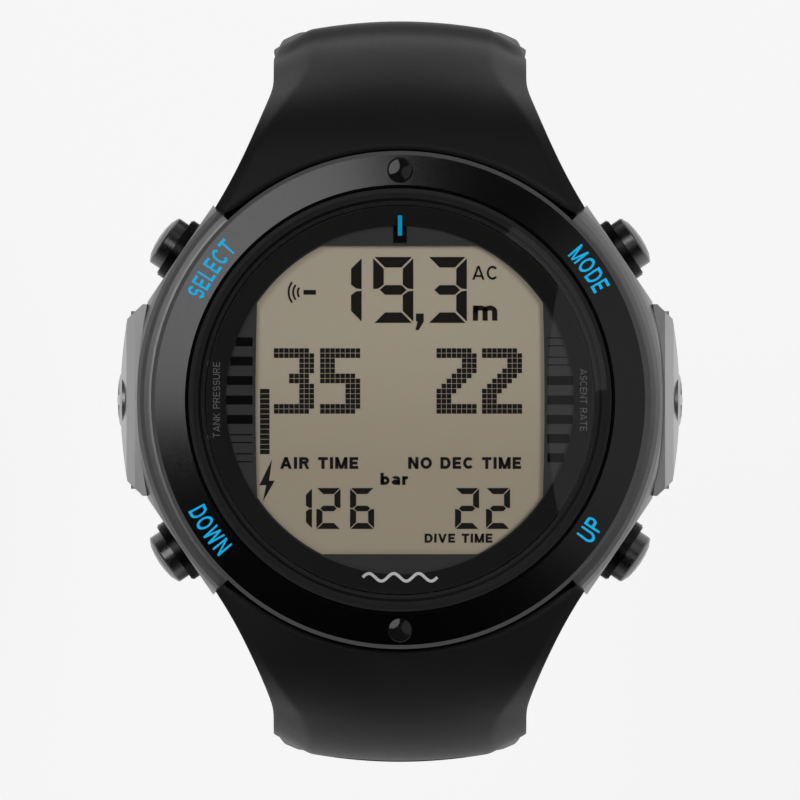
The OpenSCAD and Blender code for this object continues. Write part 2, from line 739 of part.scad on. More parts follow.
module lug_bar_12() lug_bar(bar_y);
module lug_bar_6() lug_bar(-bar_y);

// One half of the strap on the side of +Y, before its own holes are cut.
module strap_half(segs) {
    total = path_length(segs);
    count = round(total / ring_pitch);
    difference() {
        union() {
            skin([for (i = [0 : count]) ring(segs, total * i / count, shield_y, start_z, -start_drop)]);
            across(bar_y, bar_z, knuckle_w, knuckle_r);
        }
        // the end hugs the bezel between two seams
        cylinder(r = strap_gap_r, h = 80, center = true);
        difference() {
            translate([-30, 0, -1]) cube([60, 22, 30]);
            strap_wedge(strap_seam_a + 0.5, 60);
        }
        // bore for the spring bar, and pockets for the lugs
        across(bar_y, bar_z, lug_gap + 2 * lug_t + 2, bar_r + fit);
        for (sx = [-1, 1]) translate([sx * (lug_gap + lug_t) / 2 - lug_t / 2 - free, 0, 0])
            rotate([90, 0, 90]) linear_extrude(height = lug_t + 2 * free) {
                translate([bar_y, bar_z]) circle(r = lug_r + 0.35);
                translate([strap_gap_r - 4, bar_z - 12]) square([bar_y - strap_gap_r + 4, 12 + lug_r + 0.35]);
            }
    }
}

module strap_short() color([0.08, 0.08, 0.08]) difference() {
    union() {
        strap_half(short_path);
        across(buckle_y, buckle_z, strap_end_w, buckle_knuckle_r);
    }
    across(buckle_y, buckle_z, strap_end_w + 2, buckle_r + fit);
    // slot for the tongue
    translate([-tongue_slot_w / 2, buckle_y, buckle_z]) rotate([buckle_at[2], 0, 0])
        translate([0, -tongue_slot_l, -4]) cube([tongue_slot_w, tongue_slot_l + 4, 8]);
}

// Distance of hole i from the long half's tip
function hole_at(i) = long_l - 9 - hole_pitch * i;

module strap_long() color([0.08, 0.08, 0.08]) mirror([0, 1, 0]) difference() {
    strap_half(long_path);
    for (i = [0 : hole_count - 1]) {
        at = along(long_path, hole_at(i), shield_y, start_z, -start_drop);
        translate([0, at[0], at[1]]) rotate([at[2], 0, 0]) translate([0, 0, -8])
            cylinder(r = 1.35, h = 12, $fn = 32);
    }
    // shallow cross grooves below the bend
    for (i = [0 : 3]) {
        at = along(long_path, bend_end(long_path) * 0.93 + 5.2 * i, shield_y, start_z, -start_drop);
        across(at[0], at[1], 11.6, 0.55);
    }
    // rounded tip
    tip = along(long_path, long_l, shield_y, start_z, -start_drop);
    translate([0, tip[0], tip[1]]) rotate([tip[2], 0, 0]) translate([0, 0, -8]) difference() {
        translate([-20, -strap_end_w / 2, 0]) cube([40, 20, 16]);
        translate([0, -strap_end_w / 2 - 0.5, -1]) cylinder(r = strap_end_w / 2 + 0.5, h = 18);
    }
}

module buckle_bar() color("silver") across(buckle_y, buckle_z, frame_in_w + 2 * arm_w - 0.4, buckle_r);

// The buckle's frame and tongue hang straight down from their bar.
module buckle_frame() color("silver") translate([0, buckle_y, buckle_z]) difference() {
    union() {
        translate([0, frame_t / 2, 0]) rotate([90, 0, 0]) linear_extrude(height = frame_t) difference() {
            union() {
                translate([-frame_in_w / 2 - arm_w, -window_l - front_w + 2])
                    square([frame_in_w + 2 * arm_w, window_l + front_w - 2]);
                for (sx = [-1, 1]) translate([sx * (frame_in_w / 2 + arm_w - 2), -window_l - front_w + 2])
                    circle(r = 2);
                translate([-frame_in_w / 2 - arm_w + 2, -window_l - front_w])
                    square([frame_in_w + 2 * arm_w - 4, 3]);
            }
            translate([-frame_in_w / 2, -window_l]) square([frame_in_w, window_l + 3]);
        }
        for (sx = [-1, 1]) translate([sx * (frame_in_w + arm_w) / 2, 0, 0])
            across(0, 0, arm_w, frame_t / 2 + 0.4);
    }
    across(0, 0, frame_in_w + 2 * arm_w + 2, buckle_r + fit);
}

module buckle_tongue() color("silver") translate([0, buckle_y, buckle_z]) difference() {
    union() {
        across(0, 0, tongue_w, 1.5);
        rotate([tongue_lean, 0, 0]) {
            translate([-tongue_w / 2, -tongue_t / 2, -tongue_l + 1])
                cube([tongue_w, tongue_t, tongue_l - 1]);
            across(0, -tongue_l + 1, tongue_w, tongue_t / 2);
        }
    }
    across(0, 0, tongue_w + 2, buckle_r + fit);
}

// A loop around the short half that follows its curve, with its middle at angle a.
module keeper(a, gap) {
    in_w = strap_end_w / 2 + gap;
    in_r = short_curve_r - strap_thin_t - gap;
    out_r = short_curve_r + keeper_room;
    translate([0, curve_y, curve_z]) rotate([-a + keeper_a / 2, 0, 0]) rotate([0, 90, 0]) rotate([0, 0, 90])
        rotate_extrude(angle = -keeper_a, $fn = 240) difference() {
            translate([in_r - keeper_wall, -in_w - keeper_wall])
                square([out_r - in_r + 2 * keeper_wall, 2 * (in_w + keeper_wall)]);
            translate([in_r, -in_w]) square([out_r - in_r, 2 * in_w]);
        }
}

module keeper_fixed() color([0.1, 0.1, 0.1]) keeper(keeper_fixed_a, 0.08);
module keeper_free() color([0.1, 0.1, 0.1]) keeper(keeper_free_a, 0.25);

// ---------------------------------------------------------------- assembly

case_middle();
case_back();
case_back_gasket();
case_back_screws();
bezel();
bezel_screws();
bezel_plugs();
glass();
glass_gasket();
flange_ring();
dial_mask();
display_panel();
backlight();
module_frame();
circuit_board();
board_components();
battery();
battery_contact();
antenna_coil();
buzzer();
pressure_sensor();
data_plug();
data_pins();
side_guard_left();
side_guard_right();
guard_screws();
port_cover_left();
port_cover_right();
button_collars();
button_select();
button_mode();
button_down();
button_up();
spring_select();
spring_mode();
spring_down();
spring_up();
seal_select();
seal_mode();
seal_down();
seal_up();
clip_select();
clip_mode();
clip_down();
clip_up();
lug_bar_12();
lug_bar_6();
strap_short();
strap_long();
buckle_bar();
buckle_frame();
buckle_tongue();
keeper_fixed();
keeper_free();
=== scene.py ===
# %% [markdown]
# # A wrist dive computer
# The object is a round steel case with four push buttons, a black bezel ring, a glass over a
# segment display, and a rubber strap in two halves. Its engineering model is loaded as a fixed
# frame, and each step below gives one part its surface, or builds what the frame leaves plain.
# Everything is in metres, with +Z out of the display and +Y towards twelve o'clock.

# %% Load the frame
import bpy
import bmesh
import math
from mathutils import Matrix, Vector


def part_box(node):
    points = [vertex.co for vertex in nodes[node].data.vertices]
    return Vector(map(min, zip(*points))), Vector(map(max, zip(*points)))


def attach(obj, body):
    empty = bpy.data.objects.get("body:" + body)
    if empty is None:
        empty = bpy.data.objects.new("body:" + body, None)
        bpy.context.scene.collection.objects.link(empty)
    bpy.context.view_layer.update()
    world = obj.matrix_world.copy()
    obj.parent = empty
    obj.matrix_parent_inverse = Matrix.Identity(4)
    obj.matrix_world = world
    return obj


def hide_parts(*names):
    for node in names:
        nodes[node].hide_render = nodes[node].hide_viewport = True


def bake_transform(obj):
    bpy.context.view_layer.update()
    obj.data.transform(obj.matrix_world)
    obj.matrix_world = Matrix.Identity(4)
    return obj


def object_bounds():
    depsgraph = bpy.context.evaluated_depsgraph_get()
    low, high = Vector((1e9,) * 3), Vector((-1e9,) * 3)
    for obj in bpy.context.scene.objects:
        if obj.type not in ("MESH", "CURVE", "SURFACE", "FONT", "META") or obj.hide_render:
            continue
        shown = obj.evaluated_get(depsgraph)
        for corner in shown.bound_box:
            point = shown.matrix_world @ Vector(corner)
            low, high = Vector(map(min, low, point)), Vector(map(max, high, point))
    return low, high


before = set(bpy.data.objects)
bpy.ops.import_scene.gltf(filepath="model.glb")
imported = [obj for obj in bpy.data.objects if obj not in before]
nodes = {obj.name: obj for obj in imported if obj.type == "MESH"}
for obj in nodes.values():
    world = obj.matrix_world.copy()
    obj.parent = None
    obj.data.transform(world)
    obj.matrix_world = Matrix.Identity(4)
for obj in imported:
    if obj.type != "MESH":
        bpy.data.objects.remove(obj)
cad_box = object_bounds()
MM = 0.001

# %% [markdown]
# ## Sizes read from the frame
# The frame's own boxes say where the bezel, glass, mask and bars are. Reading them here means
# that a change of the case size reaches every mark and every rubber surface made below.

# %% Read the main sizes
GLASS_BEVEL = 1.05 * MM
FLANGE_WIDTH = 1.85 * MM
BEZEL_ROUND = 0.45 * MM
scene = bpy.context.scene
bezel_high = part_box("bezel")[1]
glass_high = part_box("glass")[1]
mask_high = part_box("dial_mask")[1]
flange_low, flange_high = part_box("flange_ring")
panel_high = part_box("display_panel")[1]
bar_low, bar_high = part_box("lug_bar_12")
bezel_r = bezel_high.x
bezel_top = bezel_high.z
glass_r = glass_high.x
dial_r = glass_r - GLASS_BEVEL - FLANGE_WIDTH
bar_y = (bar_low.y + bar_high.y) / 2
bar_z = (bar_low.z + bar_high.z) / 2
rim_points = [v.co.z for v in nodes["bezel"].data.vertices if v.co.xy.length > bezel_r - BEZEL_ROUND]
bezel_fall = bezel_top - max(rim_points)
print("bezel radius mm:", round(bezel_r / MM, 2), "glass radius mm:", round(glass_r / MM, 2))
print("fall of the bezel's face mm:", round(bezel_fall / MM, 2))

# %% [markdown]
# ## Camera and backdrop
# A watch is pictured for a catalogue from straight above its dial with a very long lens, so
# that its sides hardly show. A 1500 mm lens at the right distance makes the case fill the frame
# as it should. The backdrop is a wide pale sheet well below the strap, which keeps shadows soft.

# %% Place the camera
VIEW_WIDTH = 70.8 * MM
camera_data = bpy.data.cameras.new("camera")
camera_data.lens = 1500
camera_data.sensor_width = 36
camera_data.clip_start = 0.01
camera_data.clip_end = 20
camera = bpy.data.objects.new("camera", camera_data)
scene.collection.objects.link(camera)
distance = VIEW_WIDTH * camera_data.lens / camera_data.sensor_width
camera.location = (0, 0, bezel_top + distance)
scene.camera = camera
print("camera distance m:", round(distance, 3))


# %% Helpers that make objects
def mesh_from(name, verts, faces, smooth=False):
    """A new mesh object from points and faces."""
    mesh = bpy.data.meshes.new(name)
    mesh.from_pydata([tuple(v) for v in verts], [], [tuple(f) for f in faces])
    mesh.update()
    mesh.polygons.foreach_set("use_smooth", [smooth] * len(mesh.polygons))
    made = bpy.data.objects.new(name, mesh)
    scene.collection.objects.link(made)
    return made


def skin(rings, closed=False):
    """Points and faces over a row of equal rings, with two end caps or closed into a loop."""
    n, around_it = len(rings), len(rings[0])
    verts = [point for ring in rings for point in ring]
    faces = []
    for i in range(n if closed else n - 1):
        here, there = i * around_it, (i + 1) % n * around_it
        for k in range(around_it):
            after = (k + 1) % around_it
            faces.append((here + k, here + after, there + after, there + k))
    if not closed:
        faces += [tuple(range(around_it))[::-1], tuple(range(len(verts) - around_it, len(verts)))]
    return verts, faces


def face_outward(piece):
    """Turns a closed piece's faces outward."""
    fix = bmesh.new()
    fix.from_mesh(piece.data)
    bmesh.ops.recalc_face_normals(fix, faces=fix.faces)
    fix.to_mesh(piece.data)
    fix.free()
    return piece


def sharpen(piece, angle):
    """Shades a piece smooth, with hard edges where it turns by more than the angle."""
    piece.data.polygons.foreach_set("use_smooth", [True] * len(piece.data.polygons))
    piece.data.set_sharp_from_angle(angle=math.radians(angle))


def dress(piece, material, body, node=None):
    """Gives a piece its finish and its body, and hides the frame part that it stands for."""
    piece.data.materials.clear()
    piece.data.materials.append(material)
    if node:
        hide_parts(node)
    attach(piece, body)
    return piece


# %% Make the backdrop
FLOOR_DROP = 90 * MM
FLOOR_HALF = 4
floor_z = cad_box[0].z - FLOOR_DROP
floor = mesh_from("backdrop", [(x * FLOOR_HALF, y * FLOOR_HALF, floor_z)
                               for x, y in ((-1, -1), (1, -1), (1, 1), (-1, 1))], [(0, 1, 2, 3)])
print("backdrop height mm:", round(floor_z / MM, 1))

# %% [markdown]
# ## A small kit for materials
# Every finish below is a Principled shader whose colour, roughness and bump come from noise in
# the object's own coordinates. That way a finish has its grain at a real size on any piece.

# %% Material helpers
def new_material(name, color, roughness, metallic=0.0):
    """A material with one Principled shader, and the shader and its tree."""
    made = bpy.data.materials.new(name)
    made.use_nodes = True
    tree = made.node_tree
    shader = tree.nodes["Principled BSDF"]
    shader.inputs["Base Color"].default_value = (*color, 1)
    shader.inputs["Roughness"].default_value = roughness
    shader.inputs["Metallic"].default_value = metallic
    made.diffuse_color = (*color, 1)
    return made, tree, shader


def noise(tree, scale, detail, stretch=(1, 1, 1)):
    """A noise texture in object space, with its grain stretched along chosen axes."""
    place = tree.nodes.new("ShaderNodeTexCoord")
    shape = tree.nodes.new("ShaderNodeMapping")
    shape.inputs["Scale"].default_value = stretch
    made = tree.nodes.new("ShaderNodeTexNoise")
    made.inputs["Scale"].default_value = scale
    made.inputs["Detail"].default_value = detail
    made.inputs["Roughness"].default_value = 0.55
    tree.links.new(place.outputs["Object"], shape.inputs["Vector"])
    tree.links.new(shape.outputs["Vector"], made.inputs["Vector"])
    return made


def spread(tree, source, low_value, high_value, start=0.3, end=0.7):
    """Maps a texture's value to a range."""
    made = tree.nodes.new("ShaderNodeMapRange")
    made.inputs["From Min"].default_value = start
    made.inputs["From Max"].default_value = end
    made.inputs["To Min"].default_value = low_value
    made.inputs["To Max"].default_value = high_value
    tree.links.new(source, made.inputs["Value"])
    return made.outputs["Result"]


def tint(tree, source, dark, light):
    """A ramp between two colours, driven by a texture's value."""
    made = tree.nodes.new("ShaderNodeValToRGB")
    made.color_ramp.elements[0].position = 0.3
    made.color_ramp.elements[1].position = 0.7
    made.color_ramp.elements[0].color = (*dark, 1)
    made.color_ramp.elements[1].color = (*light, 1)
    tree.links.new(source, made.inputs["Fac"])
    return made.outputs["Color"]


def bump(tree, shader, source, strength, depth):
    """Feeds a texture to the shader as relief of a real depth."""
    made = tree.nodes.new("ShaderNodeBump")
    made.inputs["Strength"].default_value = strength
    made.inputs["Distance"].default_value = depth
    tree.links.new(source, made.inputs["Height"])
    tree.links.new(made.outputs["Normal"], shader.inputs["Normal"])


def shade(name, color, roughness, metallic=0.0, vary=0.15, grain=3000, detail=3, stretch=(1, 1, 1),
          rough_vary=0.06, relief=0.15, depth=0.01 * MM, gloss=0.5):
    """A finish whose colour, roughness and relief all follow one grain."""
    made, tree, shader = new_material(name, color, roughness, metallic)
    shader.inputs["Specular IOR Level"].default_value = gloss
    fine = noise(tree, grain, detail, stretch).outputs["Fac"]
    dark = [c * (1 - vary) for c in color]
    light = [min(1, c * (1 + vary)) for c in color]
    tree.links.new(tint(tree, fine, dark, light), shader.inputs["Base Color"])
    rough = spread(tree, fine, roughness - rough_vary, roughness + rough_vary)
    tree.links.new(rough, shader.inputs["Roughness"])
    bump(tree, shader, fine, relief, depth)
    return made


# %% [markdown]
# ## Light
# The bezel's face falls outward by a few degrees, so its upper left leans towards a high panel
# there and shines, while the far side leans away and stays black. Little comes from straight
# above: flat black faces mirror the zenith. The horizon is bright, which is what the steel flanks,
# the ground edge of the glass and the strap's steep sides mirror. The world's brightness is
# therefore a ramp over elevation, and a little stronger on the right and on the six o'clock side.
# The three panels that light the display aren't mirrored in steel or rubber, where they would
# leave small hot spots, and no panel is seen through the glass.

# %% Set the lights
def panel(name, azimuth, elevation, reach, size, power, mirrored):
    """A soft round light at a direction from the dial, turned towards it."""
    a, e = math.radians(azimuth), math.radians(elevation)
    place = Vector((math.cos(e) * math.cos(a), math.cos(e) * math.sin(a), math.sin(e))) * reach
    data = bpy.data.lights.new(name, "AREA")
    data.shape = "DISK"
    data.size = size
    data.energy = power
    made = bpy.data.objects.new(name, data)
    scene.collection.objects.link(made)
    made.location = place
    made.rotation_euler = (-place).to_track_quat("-Z", "Y").to_euler()
    made.visible_camera = False
    made.visible_transmission = False
    made.visible_glossy = mirrored


# name, azimuth, elevation, distance and width in metres, power, and whether it is mirrored
for light in (("bezel_glow_panel", 140, 72, 0.30, 0.14, 0.10, True),
              ("bezel_edge_panel", 0, 76, 0.30, 0.12, 0.012, True),
              ("right_panel", 14, 53, 0.45, 0.20, 0.76, False),
              ("right_edge_panel", 30, 40, 0.45, 0.40, 0.14, True),
              ("left_panel", 142, 53, 0.45, 0.20, 0.46, False),
              ("low_panel", 258, 53, 0.45, 0.20, 0.26, False)):
    panel(*light)

world = bpy.data.worlds.new("studio")
scene.world = world
world.use_nodes = True
sky_tree = world.node_tree
sky = sky_tree.nodes["Background"]
direction = sky_tree.nodes.new("ShaderNodeTexCoord")
parts = sky_tree.nodes.new("ShaderNodeSeparateXYZ")
sky_tree.links.new(direction.outputs["Generated"], parts.inputs["Vector"])
ramp = sky_tree.nodes.new("ShaderNodeValToRGB")
ramp.color_ramp.interpolation = "EASE"
# sine of the elevation, and brightness
stops = ((0.0, 0.50), (0.20, 0.46), (0.46, 0.12), (0.74, 0.03), (1.0, 0.008))
while len(ramp.color_ramp.elements) < len(stops):
    ramp.color_ramp.elements.new(0.5)
for element, (place, level) in zip(ramp.color_ramp.elements, stops):
    element.position = place
    element.color = (level, level * 1.003, level * 1.008, 1)
sky_tree.links.new(parts.outputs["Z"], ramp.inputs["Fac"])
sky_tree.links.new(ramp.outputs["Color"], sky.inputs["Color"])
right_lean = spread(sky_tree, parts.outputs["X"], 0.45, 1.25, -1, 1)
low_lean = spread(sky_tree, parts.outputs["Y"], 1.3, 0.5, -1, 1)
both_leans = sky_tree.nodes.new("ShaderNodeMath")
both_leans.operation = "MULTIPLY"
sky_tree.links.new(right_lean, both_leans.inputs[0])
sky_tree.links.new(low_lean, both_leans.inputs[1])
sky_tree.links.new(both_leans.outputs["Value"], sky.inputs["Strength"])
scene.view_settings.view_transform = "Standard"
scene.view_settings.look = "None"


# %% [markdown]
# ## Steel
# The case is stainless steel with a fine satin finish, the kind left by a bead blast and a soft
# brush: no streak is seen at arm's length, but light spreads softly. The turned case back has
# rings. The buttons are darker and smoother. Their collars are painted nearly black: painted
# shade for the narrow neck between the case and each head.

# %% Steel finishes
case_steel = shade("satin_case_steel", (0.41, 0.41, 0.41), 0.46, 1.0, vary=0.06, grain=5200,
                   rough_vary=0.05, relief=0.12, depth=0.004 * MM)
guard_steel = shade("brushed_guard_steel", (0.48, 0.48, 0.48), 0.36, 1.0, vary=0.07, grain=900, detail=4,
                    stretch=(1, 0.12, 6), rough_vary=0.06, relief=0.2, depth=0.004 * MM)
button_steel = shade("dark_button_steel", (0.14, 0.14, 0.143), 0.26, 1.0, vary=0.06, grain=4200,
                     rough_vary=0.05, relief=0.08, depth=0.003 * MM)
# painted shade: the collars are coloured nearly black for the shade that falls in the neck under each button head
collar_painted_shade = shade("painted_shade_collar", (0.030, 0.030, 0.031), 0.3, 1.0, vary=0.08, grain=4200,
                     rough_vary=0.05, relief=0.08, depth=0.003 * MM)
bar_steel = shade("drawn_bar_steel", (0.55, 0.55, 0.55), 0.28, 1.0, vary=0.06, grain=2200,
                  stretch=(0.1, 2, 2), relief=0.1, depth=0.003 * MM)
buckle_steel = shade("brushed_buckle_steel", (0.55, 0.55, 0.55), 0.27, 1.0, vary=0.07, grain=1500,
                     stretch=(0.08, 3, 3), relief=0.2, depth=0.004 * MM)
screw_steel = shade("black_screw_steel", (0.16, 0.16, 0.165), 0.33, 1.0, vary=0.08, grain=3600,
                    relief=0.1, depth=0.004 * MM)


def turned_steel(name, color):
    """Steel with the fine rings that a lathe leaves around the object's own axis."""
    made, tree, shader = new_material(name, color, 0.3, 1.0)
    place = tree.nodes.new("ShaderNodeTexCoord")
    rings = tree.nodes.new("ShaderNodeTexWave")
    rings.wave_type = "RINGS"
    rings.rings_direction = "Z"
    rings.inputs["Scale"].default_value = 1400
    rings.inputs["Distortion"].default_value = 1.2
    rings.inputs["Detail"].default_value = 2
    tree.links.new(place.outputs["Object"], rings.inputs["Vector"])
    shine = spread(tree, rings.outputs["Fac"], 0.22, 0.36, 0, 1)
    tree.links.new(shine, shader.inputs["Roughness"])
    bump(tree, shader, rings.outputs["Fac"], 0.15, 0.006 * MM)
    return made


back_steel = turned_steel("turned_back_steel", (0.50, 0.50, 0.505))
print("steel finishes made")

# %% [markdown]
# ## Black coating, rubber and plastics
# The bezel is steel under a hard black coating with a satin sheen. The strap is silicone rubber
# from a lightly blasted mould. Flange and mask are printed or moulded black plastic.

# %% Black finishes
bezel_black = shade("satin_black_coating", (0.060, 0.060, 0.061), 0.17, 1.0, vary=0.12, grain=6000,
                    rough_vary=0.03, relief=0.06, depth=0.003 * MM)
plug_black = shade("glossy_black_plug", (0.006, 0.006, 0.006), 0.06, vary=0.2, grain=2500,
                   rough_vary=0.02, relief=0.02, depth=0.002 * MM)
seal_rubber = shade("gasket_rubber", (0.010, 0.010, 0.010), 0.6, vary=0.2, grain=3000)
flange_black = shade("satin_flange_black", (0.013, 0.013, 0.013), 0.55, vary=0.12, grain=4200,
                     rough_vary=0.04, relief=0.02, depth=0.002 * MM, gloss=0.15)
mask_black = shade("printed_mask_grey", (0.044, 0.044, 0.045), 0.6, vary=0.10, grain=5200,
                   rough_vary=0.04, relief=0.05, depth=0.003 * MM, gloss=0.2)
print_dark = shade("print_dark", (0.003, 0.003, 0.003), 0.6, vary=0.15, grain=5000, gloss=0.1)
print_white = shade("print_white", (0.78, 0.78, 0.78), 0.5, vary=0.05, grain=5000)
print_grey = shade("print_grey", (0.17, 0.17, 0.17), 0.5, vary=0.08, grain=5000, gloss=0.2)
print_blue = shade("print_blue", (0.010, 0.47, 0.86), 0.6, vary=0.06, grain=5000, gloss=0.15)
plug_plastic = shade("black_plug_plastic", (0.02, 0.02, 0.02), 0.5, vary=0.15)


def strap_rubber_material():
    """Silicone rubber: fine mould grain, and broad soft patches where it has been handled."""
    made, tree, shader = new_material("black_silicone_rubber", (0.006, 0.006, 0.0062), 0.47)
    shader.inputs["Specular IOR Level"].default_value = 0.3
    fine = noise(tree, 4200, 4)
    broad = noise(tree, 90, 2)
    color = tint(tree, broad.outputs["Fac"], (0.0050, 0.0050, 0.0052), (0.0072, 0.0072, 0.0074))
    tree.links.new(color, shader.inputs["Base Color"])
    both = tree.nodes.new("ShaderNodeMath")
    both.operation = "MULTIPLY_ADD"
    both.inputs[1].default_value = 0.5
    tree.links.new(fine.outputs["Fac"], both.inputs[0])
    half = spread(tree, broad.outputs["Fac"], 0.15, 0.35)
    tree.links.new(half, both.inputs[2])
    tree.links.new(spread(tree, both.outputs["Value"], 0.42, 0.54), shader.inputs["Roughness"])
    bump(tree, shader, fine.outputs["Fac"], 0.10, 0.010 * MM)
    return made


strap_rubber = strap_rubber_material()
print("black finishes made")


# %% [markdown]
# ## Glass and display
# The glass is clear, so it is a transmitting shader that lets shadow rays straight through:
# otherwise the display under it would sit in the dark. The display cell is a reflective liquid
# crystal, a warm grey mirror with a very fine grain. Painted light makes it a little brighter
# towards the top.

# %% Glass and display finishes
def glass_material():
    """Clear glass that doesn't darken what lies behind it."""
    made, tree, shader = new_material("clear_glass", (0.985, 0.99, 0.99), 0.0)
    shader.inputs["Transmission Weight"].default_value = 1.0
    shader.inputs["IOR"].default_value = 1.5
    clear = tree.nodes.new("ShaderNodeBsdfTransparent")
    path = tree.nodes.new("ShaderNodeLightPath")
    mixer = tree.nodes.new("ShaderNodeMixShader")
    out = tree.nodes["Material Output"]
    tree.links.new(path.outputs["Is Shadow Ray"], mixer.inputs["Fac"])
    tree.links.new(shader.outputs["BSDF"], mixer.inputs[1])
    tree.links.new(clear.outputs["BSDF"], mixer.inputs[2])
    tree.links.new(mixer.outputs["Shader"], out.inputs["Surface"])
    return made


def cell_material():
    """The display cell: warm grey, with a faint grain, and painted light that brightens it upward."""
    made, tree, shader = new_material("display_cell", (0.46, 0.40, 0.30), 0.42)
    place = tree.nodes.new("ShaderNodeTexCoord")
    apart = tree.nodes.new("ShaderNodeSeparateXYZ")
    tree.links.new(place.outputs["Object"], apart.inputs["Vector"])
    # painted light: the cell's colour ramps lighter towards twelve o'clock, for light falling more on its upper
    # part
    rise = spread(tree, apart.outputs["Y"], 0.0, 1.0, -14 * MM, 14 * MM)
    color = tint(tree, rise, (0.425, 0.365, 0.275), (0.500, 0.435, 0.335))
    tree.links.new(color, shader.inputs["Base Color"])
    grain_node = noise(tree, 7000, 2)
    bump(tree, shader, grain_node.outputs["Fac"], 0.05, 0.003 * MM)
    return made


cover_glass = glass_material()
display_cell = cell_material()
display_ink = shade("display_segments", (0.014, 0.013, 0.012), 0.6, vary=0.15, grain=5000, gloss=0.15)
print("glass and display finishes made")

# %% Finishes of the inner parts
light_guide = shade("milky_light_guide", (0.80, 0.80, 0.77), 0.4, vary=0.03)
frame_plastic = shade("moulded_frame_plastic", (0.62, 0.61, 0.56), 0.5, vary=0.05)
board_green = shade("solder_resist", (0.02, 0.12, 0.045), 0.35, vary=0.2, grain=900)
chip_black = shade("moulded_chip_package", (0.03, 0.03, 0.03), 0.55, vary=0.15)
cell_steel = shade("nickel_plate", (0.70, 0.69, 0.67), 0.2, 1.0, vary=0.05)
contact_gold = shade("gold_plate", (0.78, 0.57, 0.25), 0.25, 1.0, vary=0.06)
coil_copper = shade("enamelled_copper", (0.60, 0.28, 0.12), 0.35, 1.0, vary=0.12, stretch=(1, 12, 1))
brass = shade("buzzer_brass", (0.68, 0.50, 0.22), 0.3, 1.0, vary=0.08)
print("inner finishes made")

# %% Give each frame part its finish
finish = {
    "case_middle": case_steel, "case_back": back_steel, "case_back_gasket": seal_rubber,
    "case_back_screws": screw_steel, "bezel": bezel_black, "bezel_screws": screw_steel,
    "bezel_plugs": plug_black, "glass": cover_glass, "glass_gasket": seal_rubber,
    "flange_ring": flange_black, "dial_mask": mask_black, "display_panel": display_cell,
    "backlight": light_guide, "module_frame": frame_plastic, "circuit_board": board_green,
    "board_components": chip_black, "battery": cell_steel, "battery_contact": contact_gold,
    "antenna_coil": coil_copper, "buzzer": brass, "pressure_sensor": bar_steel,
    "data_plug": plug_plastic, "data_pins": contact_gold, "side_guard_left": guard_steel,
    "side_guard_right": guard_steel, "guard_screws": screw_steel, "port_cover_left": guard_steel,
    "port_cover_right": guard_steel, "button_collars": collar_painted_shade, "lug_bar_12": bar_steel,
    "lug_bar_6": bar_steel, "strap_short": strap_rubber, "strap_long": strap_rubber,
    "buckle_bar": bar_steel, "buckle_frame": buckle_steel, "buckle_tongue": buckle_steel,
    "keeper_fixed": strap_rubber, "keeper_free": strap_rubber,
}
BUTTONS = ("select", "mode", "down", "up")
for button in BUTTONS:
    finish["button_" + button] = button_steel
    finish["spring_" + button] = bar_steel
    finish["seal_" + button] = seal_rubber
    finish["clip_" + button] = bar_steel
for name, part in nodes.items():
    part.data.materials.clear()
    part.data.materials.append(finish[name])
print("parts with a finish:", len(finish))

# %% [markdown]
# ## The strap's shape
# Each half is one moulding. Its outer line is a chain of arcs: over the case's shoulder, round
# the bend, down, and back under the wrist. At every step along that line a section is laid
# across it: a raised middle, a chamfer to each side, and a flat inner face. The first section
# isn't straight. It follows the bezel's circle and then the two seams, so the rings fan out from
# it and the surface meets the bezel cleanly. A lofted grid is used because every facet of the
# real strap runs along its length.

# %% Lines and sections
SHIELD_RUN = 7.4 * MM
SHIELD_TURN = math.radians(6)
START_SLOPE = math.radians(-6)
BEND_TURN = math.radians(78)
LONG_LEAN = math.radians(3)
BEZEL_GAP = 0.28 * MM
SEAM_ANGLE = math.radians(46.7)
STRAP_HALF = 11.3 * MM
FLARE = 6.6 * MM
END_HALF = 10.0 * MM
THIN = 3.4 * MM
BEND_THICK = 4.6 * MM
CURVE_R = 26 * MM
gap_r = bezel_r + BEZEL_GAP
line_start_y = gap_r - SHIELD_RUN
line_start_z = bezel_top - 2.2 * MM + SHIELD_RUN * math.tan(math.radians(9))


def smooth_step(u):
    """0 to 1 with soft ends."""
    u = max(0.0, min(1.0, u))
    return u * u * (3 - 2 * u)


def mix(a, b, u):
    """The value a share u of the way from a to b."""
    return a + (b - a) * u


def walk(line, s):
    """Point and heading (y, z, angle) at distance s along a chain of (length, turn)."""
    y, z, a = line_start_y, line_start_z, START_SLOPE
    for i, (run, turn) in enumerate(line):
        u = s if i == len(line) - 1 else min(s, run)
        rate = turn / run
        b = a + rate * u
        if abs(rate) < 1e-6:
            y, z = y + u * math.cos(a), z + u * math.sin(a)
        else:
            y, z = y + (math.sin(b) - math.sin(a)) / rate, z - (math.cos(b) - math.cos(a)) / rate
        a = b
        if s <= run:
            break
        s -= run
    return y, z, a


def strap_line(bend_r, lean, drop, curve_r, curve_deg, tail, tail_deg):
    """The chain of arcs of one half, and its length."""
    line = [(SHIELD_RUN, -SHIELD_TURN), (bend_r * (BEND_TURN + lean), -BEND_TURN - lean), (drop, 0.0),
            (curve_r * math.radians(curve_deg), -math.radians(curve_deg)), (tail, -math.radians(tail_deg))]
    return line, sum(run for run, turn in line)


short_line, short_length = strap_line(14.5 * MM, 0, 8 * MM, CURVE_R, 92, 2 * MM, 0)
long_line, long_length = strap_line(12.6 * MM, LONG_LEAN, 32 * MM, 34 * MM, 63, 34 * MM, 6)
print("strap halves mm:", round(short_length / MM, 1), round(long_length / MM, 1))


# %% Section of the strap
FOLD = 0.73
ACROSS = [0, 0.16, 0.34, 0.5, 0.62, 0.69, FOLD, 0.80, 0.90, 0.965, 1.0]
RING_STEP = 1.1 * MM
FAN = 15 * MM
FAN_ROUNDS = 6
START_THICK = bar_z + 4.4 * MM


